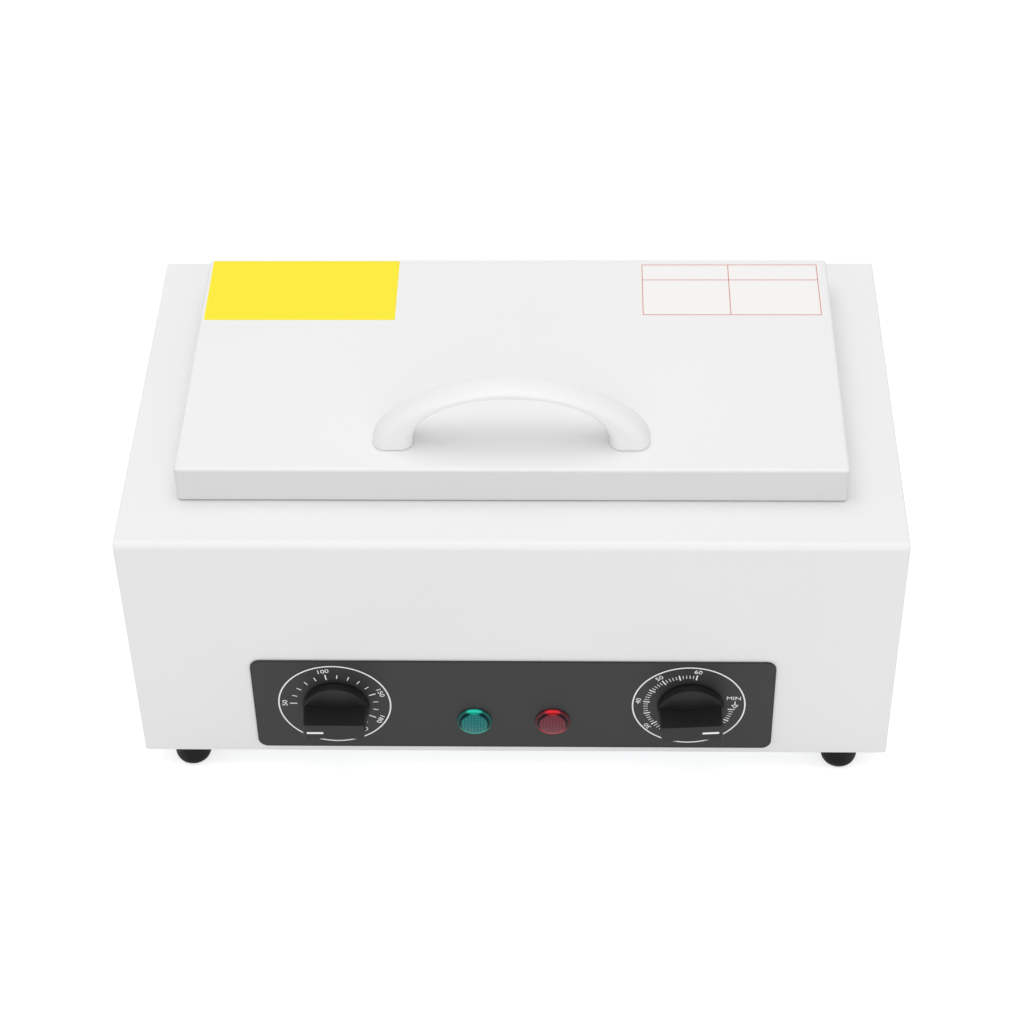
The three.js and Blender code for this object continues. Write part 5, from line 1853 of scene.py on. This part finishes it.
@dataclass
class Knob:
    """A knob, in millimetres: a skirt, a tapering barrel and a grip bar over a crowned floor."""

    name: str
    body: Body
    x: float
    pointer_turn: float
    pointer_rise: float = 0.0
    back: float = -93.25
    height: float = 15.95
    skirt: float = 15.0
    skirt_height: float = 1.6
    skirt_edge: float = 0.25
    skirt_draft: float = 0.06
    shoulder: float = 1.0
    base: float = 14.6
    front: float = 13.9
    edge: float = 0.6
    edge_facets: int = 4
    floor_edge: float = 3.4
    floor_crown: float = 2.3
    floor_facets: int = 12
    grip_middle: float = 3.9
    grip_end: float = 4.6
    grip_front: float = 4.3
    grip_cuts: int = 27
    overrun: float = 1.0
    bore: float = 3.3
    bore_depth: float = 9.3
    pointer_x: float = 8.45
    pointer_length: float = 7.5
    pointer_width: float = 1.15
    pointer_corner: float = 0.3
    pointer_steps: int = 4
    pointer_sink: float = 0.02
    pointer_ink: float = 0.06
    pointer_round: float = 0.02
    steps: int = 96

    def barrel(self) -> bpy.types.Object:
        """Returns the turned outside."""
        turns = [math.radians(90 * step / self.edge_facets) for step in range(self.edge_facets + 1)]
        rounding = [
            (self.front - self.edge * (1 - math.cos(turn)), self.height - self.edge * (1 - math.sin(turn)))
            for turn in turns
        ]
        profile = [
            (0.0, 0.0),
            (self.skirt - self.skirt_edge, 0.0),
            (self.skirt, self.skirt_edge),
            (self.skirt - self.skirt_draft, self.skirt_height),
            (self.base, self.skirt_height + self.edge + self.shoulder),
            *rounding,
            (0.0, self.height),
        ]
        return Bench.turning("knob_barrel", profile, self.steps, Matrix.Identity(4))

    def floor(self) -> bpy.types.Object:
        """Returns the crowned floor that the scoops stop at."""
        reach = self.skirt + self.overrun
        shares = [1 - step / self.floor_facets for step in range(self.floor_facets + 1)]
        crown = [(reach * share, self.floor_edge + self.floor_crown * (1 - share**2)) for share in shares]
        profile = [(0.0, -self.overrun), (reach, -self.overrun), *crown]
        return Bench.turning("knob_floor", profile, self.steps, Matrix.Identity(4))

    def scoop(self, side: int) -> bpy.types.Object:
        """Returns the solid that frees one side of the grip bar.

        Args:
            side: 1 for the upper side, -1 for the lower.

        Returns:
            The tool, its inner wall bowed at the back and straight at the front.
        """
        reach = self.skirt + 2 * self.overrun
        near_y, far_y = side * self.grip_front, side * 2 * self.skirt
        low = (-reach, min(near_y, far_y), self.skirt_height)
        high = (reach, max(near_y, far_y), self.height + self.overrun)
        piece = Bench.block("scoop_tool", low, high)
        with Shaping(piece, Pick.EDGES) as work:
            work.pick_where(lambda e: keeps(e, 1) and keeps(e, 2))
            bpy.ops.mesh.subdivide(number_cuts=self.grip_cuts)
        columns = sorted({round(v.co.x, 7) for v in piece.data.vertices})
        with Shaping(piece, Pick.VERTS) as work:
            for column in columns:
                share = min(abs(column / MM) / self.base, 1.0)
                bowed = self.grip_middle + (self.grip_end - self.grip_middle) * share**2
                work.pick_where(
                    lambda v: near(v.co.x, column / MM, 0.001)
                    and near(v.co.y, near_y)
                    and near(v.co.z, self.skirt_height)
                )
                shift = side * (bowed - self.grip_front)
                bpy.ops.transform.translate(value=(0.0, shift * MM, 0.0))
        Bench.cut(piece, self.floor())
        return piece

    def place(self) -> Matrix:
        """Returns where the knob goes, its pointer turned as it is at rest."""
        return facing_front(self.x, self.back, CONTROLS.dial_z, self.pointer_turn)

    def build(self, shop: Workshop) -> None:
        """Builds the knob and its pointer line.

        Args:
            shop: the workshop.
        """
        piece = self.barrel()
        Bench.cut(piece, self.scoop(1), self.scoop(-1))
        start = at(0.0, 0.0, -self.overrun)
        Bench.cut(piece, Bench.rod("bore_tool", self.bore, self.bore_depth + self.overrun, HOLE_SIDES, start))
        Bench.weld(piece, reach=0.004, angle=0.6)
        Bench.smooth(piece, angle=32.0)
        piece.name = f"{self.name}_grip"
        piece.matrix_world = self.place()
        Bench.settle(piece)
        shop.fit(piece, self.body, Slot.KNOB, KNOB_PLASTIC, self.name)
        shift = at(self.pointer_x, self.pointer_rise, self.height - self.pointer_sink)
        line = Bench.plate(
            f"{self.name}_pointer",
            self.pointer_length,
            self.pointer_width,
            self.pointer_corner,
            self.pointer_steps,
            self.place() @ shift,
        )
        Bench.thicken(line, self.pointer_ink, offset=1.0)
        Bench.round_edges(line, self.pointer_round)
        shop.fit(line, self.body, Slot.KNOB, WHITE_INK)


@dataclass
class PilotLamp:
    """A pilot lamp's lens, in millimetres: a neck, a chamfered flange and a domed prismatic face."""

    name: str
    x: float
    slot: Slot
    deep: Colour
    tone: Colour
    # The colour of the lens's painted highlights.
    bright: Colour
    back: float = -93.05
    neck: float = 5.5
    neck_length: float = 6.0
    flange: float = 7.8
    flange_height: float = 1.0
    flange_edge: float = 0.5
    groove: float = 0.25
    face: float = 6.3
    face_height: float = 1.0
    face_edge: float = 0.1
    face_shoulder: float = 0.35
    dome: float = 0.6
    dome_facets: int = 8
    steps: int = 72

    def profile(self) -> list[Spot]:
        """Returns the lens's section, as radius and level."""
        rim = self.flange_height
        top = rim + self.face_height
        shares = [1 - step / self.dome_facets for step in range(self.dome_facets + 1)]
        dome = [
            ((self.face - self.face_shoulder) * share, top + self.dome * (1 - share**2)) for share in shares
        ]
        return [
            (0.0, -self.neck_length),
            (self.neck, -self.neck_length),
            (self.neck, 0.0),
            (self.flange, 0.0),
            (self.flange, 0.55 * rim),
            (self.flange - 0.4 * self.flange_edge, 0.85 * rim),
            (self.flange - self.flange_edge, rim),
            (self.face + self.groove, rim),
            (self.face + 0.48 * self.groove, 0.72 * rim),
            (self.face, 0.72 * rim),
            (self.face, top - 3 * self.face_edge),
            (self.face - self.face_edge, top - self.face_edge),
            *dome,
        ]

    def build(self, shop: Workshop) -> None:
        """Turns the lens and finishes it.

        Args:
            shop: the workshop.
        """
        place = facing_front(self.x, self.back, CONTROLS.lamp_z)
        piece = Bench.turning(f"{self.name}_prism", self.profile(), self.steps, place)
        Bench.smooth(piece, angle=28.0)
        finish = PrismLens(
            f"{self.name}_plastic",
            self.deep,
            self.tone,
            self.bright,
            centre=(self.x * MM, self.back * MM, CONTROLS.lamp_z * MM),
            face_radius=self.face * MM,
            flange_radius=self.flange * MM,
        )
        shop.fit(piece, Body.CABINET, self.slot, finish, self.name)


@dataclass
class RearFittings:
    """Hinges, screws and the power inlet behind the lid and on the rear panel, in millimetres."""

    screw_x: float = 163.0
    screw_low: float = 17.5
    screw_high: float = 130.5
    panel_back: float = 106.35
    head_gap: float = 0.3
    hinge_x: float = 95.0
    hinge_screw: float = 13.0
    leaf_top: float = 144.0
    leaf_y: float = 98.65
    lid_leaf_back: float = 87.35
    lid_leaf_z: float = 155.3

    def build(self, shop: Workshop) -> None:
        """Builds the screws and dresses the hinges and the inlet.

        Args:
            shop: the workshop.
        """
        sides = (("left", -1), ("right", 1))
        seat = self.panel_back + self.head_gap
        panel = {
            f"rear_panel_screw_{level}_{side}": at(sign * self.screw_x, seat, z) @ BACKWARDS
            for level, z in (("lower", self.screw_low), ("upper", self.screw_high))
            for side, sign in sides
        }
        raised = Screws("panel_screw", shank=1.5, head=3.0, cap=1.6, length=7.0)
        raised.build(shop, Body.CABINET, panel)
        case, lid = {}, {}
        for side, sign in sides:
            for number, offset in ((1, -self.hinge_screw), (2, self.hinge_screw)):
                place = at(sign * self.hinge_x + offset, self.leaf_y, self.leaf_top)
                case[f"hinge_case_screw_{side}_{number}"] = place
                low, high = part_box(f"hinge_lid_screw_{side}_{number}")
                place = at((low.x + high.x) / 2 / MM, self.lid_leaf_back, self.lid_leaf_z)
                lid[f"hinge_lid_screw_{side}_{number}"] = place @ BACKWARDS
        sunk = Screws("hinge_screw", shank=1.2, head=2.4, cap=1.2, length=4.5, countersunk=True)
        sunk.build(shop, Body.CABINET, case)
        sunk.build(shop, Body.LID, lid)
        for side in ("left", "right"):
            shop.smoothed(f"hinge_case_leaf_{side}", Body.CABINET, Slot.ZINC, ZINC)
            shop.smoothed(f"hinge_lid_leaf_{side}", Body.LID, Slot.ZINC, ZINC)
            shop.dress_nodes(ZINC, f"hinge_pin_{side}")
        shop.dress_nodes(BLACK_PLASTIC, "power_inlet")


class Chamber:
    """The chamber with its tray, and what heats and lags it."""

    def build(self, shop: Workshop) -> None:
        """Dresses the chamber's pieces.

        Args:
            shop: the workshop.
        """
        shop.smoothed("chamber_pan", Body.CABINET, Slot.STAINLESS, STAINLESS)
        shop.smoothed("instrument_tray", Body.CABINET, Slot.STAINLESS, STAINLESS)
        shop.dress_nodes(STAINLESS_TUBE, "heating_element")
        shop.dress_nodes(ZINC, "heater_clamp_left", "heater_clamp_right")
        shop.dress_nodes(BLACK_PLASTIC, "thermal_cutout")
        shop.dress_nodes(WOOL, "chamber_insulation")
        shop.dress_nodes(GALVANISED, "insulation_jacket")
        shop.dress_nodes(COPPER, "thermostat_capillary")


class InnerWorks:
    """The wiring and the bodies behind the controls, whose shapes stay as the frame has them."""

    def build(self, shop: Workshop) -> None:
        """Dresses the inner works.

        Args:
            shop: the workshop.
        """
        shop.dress_nodes(CERAMIC, "terminal_block")
        shop.dress_nodes(SLEEVE, "wiring_loom")
        shop.dress_nodes(BLACK_PLASTIC, "thermostat_body", "timer_body", "green_lamp_body", "red_lamp_body")
        shop.dress_nodes(ZINC, "thermostat_shaft", "timer_shaft", "timer_bell")
        shop.dress_nodes(ZINC, "handle_screw_left", "handle_screw_right")
        feet = [f"foot_screw_{end}_{side}" for end in ("front", "rear") for side in ("left", "right")]
        shop.dress_nodes(ZINC, *feet)


PURE_WHITE = (1.0, 1.0, 1.0, 1.0)


@dataclass
class Studio:
    """The pale floor, soft lamps and camera: places in metres, angles in degrees."""

    floor_size: float = 9.0
    floor_grey: float = 0.8
    floor_glow: float = 0.62
    sky: float = 0.6
    target: Place = (0.0, 0.0, 0.07)
    key_size: float = 1.8
    key_power: float = 17.6
    key_place: Place = (-0.15, 0.05, 2.1)
    fill_size: float = 1.6
    fill_power: float = 9.8
    fill_place: Place = (0.3, -2.0, 0.7)
    lens: float = 89.46
    sensor: float = 36.0
    nearest: float = 0.05
    farthest: float = 30.0
    pitch: float = 42.65
    yaw: float = -2.03
    roll: float = -1.24
    eye: Place = (0.02908, -0.87592, 0.88493)

    def seen(self, graph: Graph) -> Signal:
        """Returns 1 for rays from the camera and for those that a gloss or a clear piece sends on."""
        path = graph.node("ShaderNodeLightPath")
        kinds = ("Camera", "Glossy", "Transmission")
        camera, glossy, clear = (Signal(graph, path.outputs[f"Is {kind} Ray"]) for kind in kinds)
        return camera.larger(glossy).larger(clear)

    def world(self) -> None:
        """Makes the world white to look at and plain as a light."""
        world = bpy.data.worlds.new("white_room")
        bpy.context.scene.world = world
        world.use_nodes = True
        graph = Graph(world.node_tree)
        strength = self.seen(graph) * (1.0 - self.sky) + self.sky
        ground = graph.node("ShaderNodeBackground", {}, {"Color": PURE_WHITE, "Strength": strength})
        graph.node("ShaderNodeOutputWorld", {}, {"Surface": ground.outputs[0]})

    def floor(self) -> None:
        """Lays the floor, white to look at, which keeps the shadow of what stands on it."""
        bpy.ops.object.select_all(action="DESELECT")
        bpy.ops.mesh.primitive_plane_add(size=self.floor_size)
        piece = bpy.context.object
        piece.name = "pale_floor"
        with Shaping(piece, Pick.FACES) as work:
            work.pick_all()
            bpy.ops.mesh.subdivide(number_cuts=3)
        material = bpy.data.materials.new("pale_floor")
        material.use_nodes = True
        graph = Graph(material.node_tree)
        grey = graph.node("ShaderNodeBsdfDiffuse", {}, {"Color": (*[self.floor_grey] * 3, 1.0)})
        strength = self.seen(graph) * self.floor_glow
        brightening = graph.node("ShaderNodeEmission", {}, {"Color": PURE_WHITE, "Strength": strength})
        mixed = graph.node("ShaderNodeAddShader", {}, {0: grey.outputs[0], 1: brightening.outputs[0]})
        graph.node("ShaderNodeOutputMaterial", {}, {"Surface": mixed.outputs[0]})
        piece.data.materials.append(material)

    def lamp(self, name: str, size: float, power: float, place: Place) -> None:
        """Hangs a soft square lamp that looks at the sterilizer.

        Args:
            name: its name.
            size: its side, in metres.
            power: its power, in watts.
            place: where it hangs.
        """
        light = bpy.data.lights.new(name, "AREA")
        light.shape = "SQUARE"
        light.size = size
        light.energy = power
        lamp = bpy.data.objects.new(name, light)
        bpy.context.scene.collection.objects.link(lamp)
        lamp.location = place
        lamp.rotation_euler = (Vector(self.target) - Vector(place)).to_track_quat("-Z", "Y").to_euler()

    def camera(self) -> None:
        """Sets the camera where the photograph was taken from."""
        pitch, yaw, roll = (math.radians(angle) for angle in (self.pitch, self.yaw, self.roll))
        flat = math.cos(pitch)
        forward = Vector((math.sin(yaw) * flat, math.cos(yaw) * flat, -math.sin(pitch)))
        level = Vector((math.cos(yaw), -math.sin(yaw), 0.0))
        upward = level.cross(forward)
        right = level * math.cos(roll) + upward * math.sin(roll)
        up = upward * math.cos(roll) - level * math.sin(roll)
        data = bpy.data.cameras.new("front_camera")
        data.lens = self.lens
        data.sensor_width = self.sensor
        data.clip_start = self.nearest
        data.clip_end = self.farthest
        eye = bpy.data.objects.new("front_camera", data)
        bpy.context.scene.collection.objects.link(eye)
        turn = Matrix((right, up, -forward)).transposed().to_4x4()
        eye.matrix_world = Matrix.Translation(self.eye) @ turn
        bpy.context.scene.camera = eye

    def build(self) -> None:
        """Sets up the whole studio."""
        bpy.context.scene.view_settings.view_transform = "Standard"
        self.camera()
        self.world()
        self.floor()
        self.lamp("key_lamp", self.key_size, self.key_power, self.key_place)
        self.lamp("fill_lamp", self.fill_size, self.fill_power, self.fill_place)


def main() -> None:
    """Builds the sterilizer's pieces in order, then the studio round it."""
    logging.basicConfig(level=logging.INFO, format="%(name)s: %(message)s")
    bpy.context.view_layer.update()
    Studio().build()
    shop = Workshop()
    Cabinet().build(shop)
    Feet().build(shop)
    Lid().build(shop)
    Labels().build(shop)
    Handle().build(shop)
    Fascia().build(shop)
    thermostat_print().build(shop)
    timer_print().build(shop)
    thermostat = Knob(
        "thermostat_knob", Body.THERMOSTAT, -CONTROLS.dial_x, pointer_turn=180.0, pointer_rise=0.55
    )
    thermostat.build(shop)
    Knob("timer_knob", Body.TIMER, CONTROLS.dial_x, pointer_turn=3.9).build(shop)
    PilotLamp("green_lamp_lens", -CONTROLS.lamp_x, Slot.GREEN_LENS, *GREEN_TONES).build(shop)
    PilotLamp("red_lamp_lens", CONTROLS.lamp_x, Slot.RED_LENS, *RED_TONES).build(shop)
    RearFittings().build(shop)
    Chamber().build(shop)
    InnerWorks().build(shop)


if __name__ == "__main__":
    main()
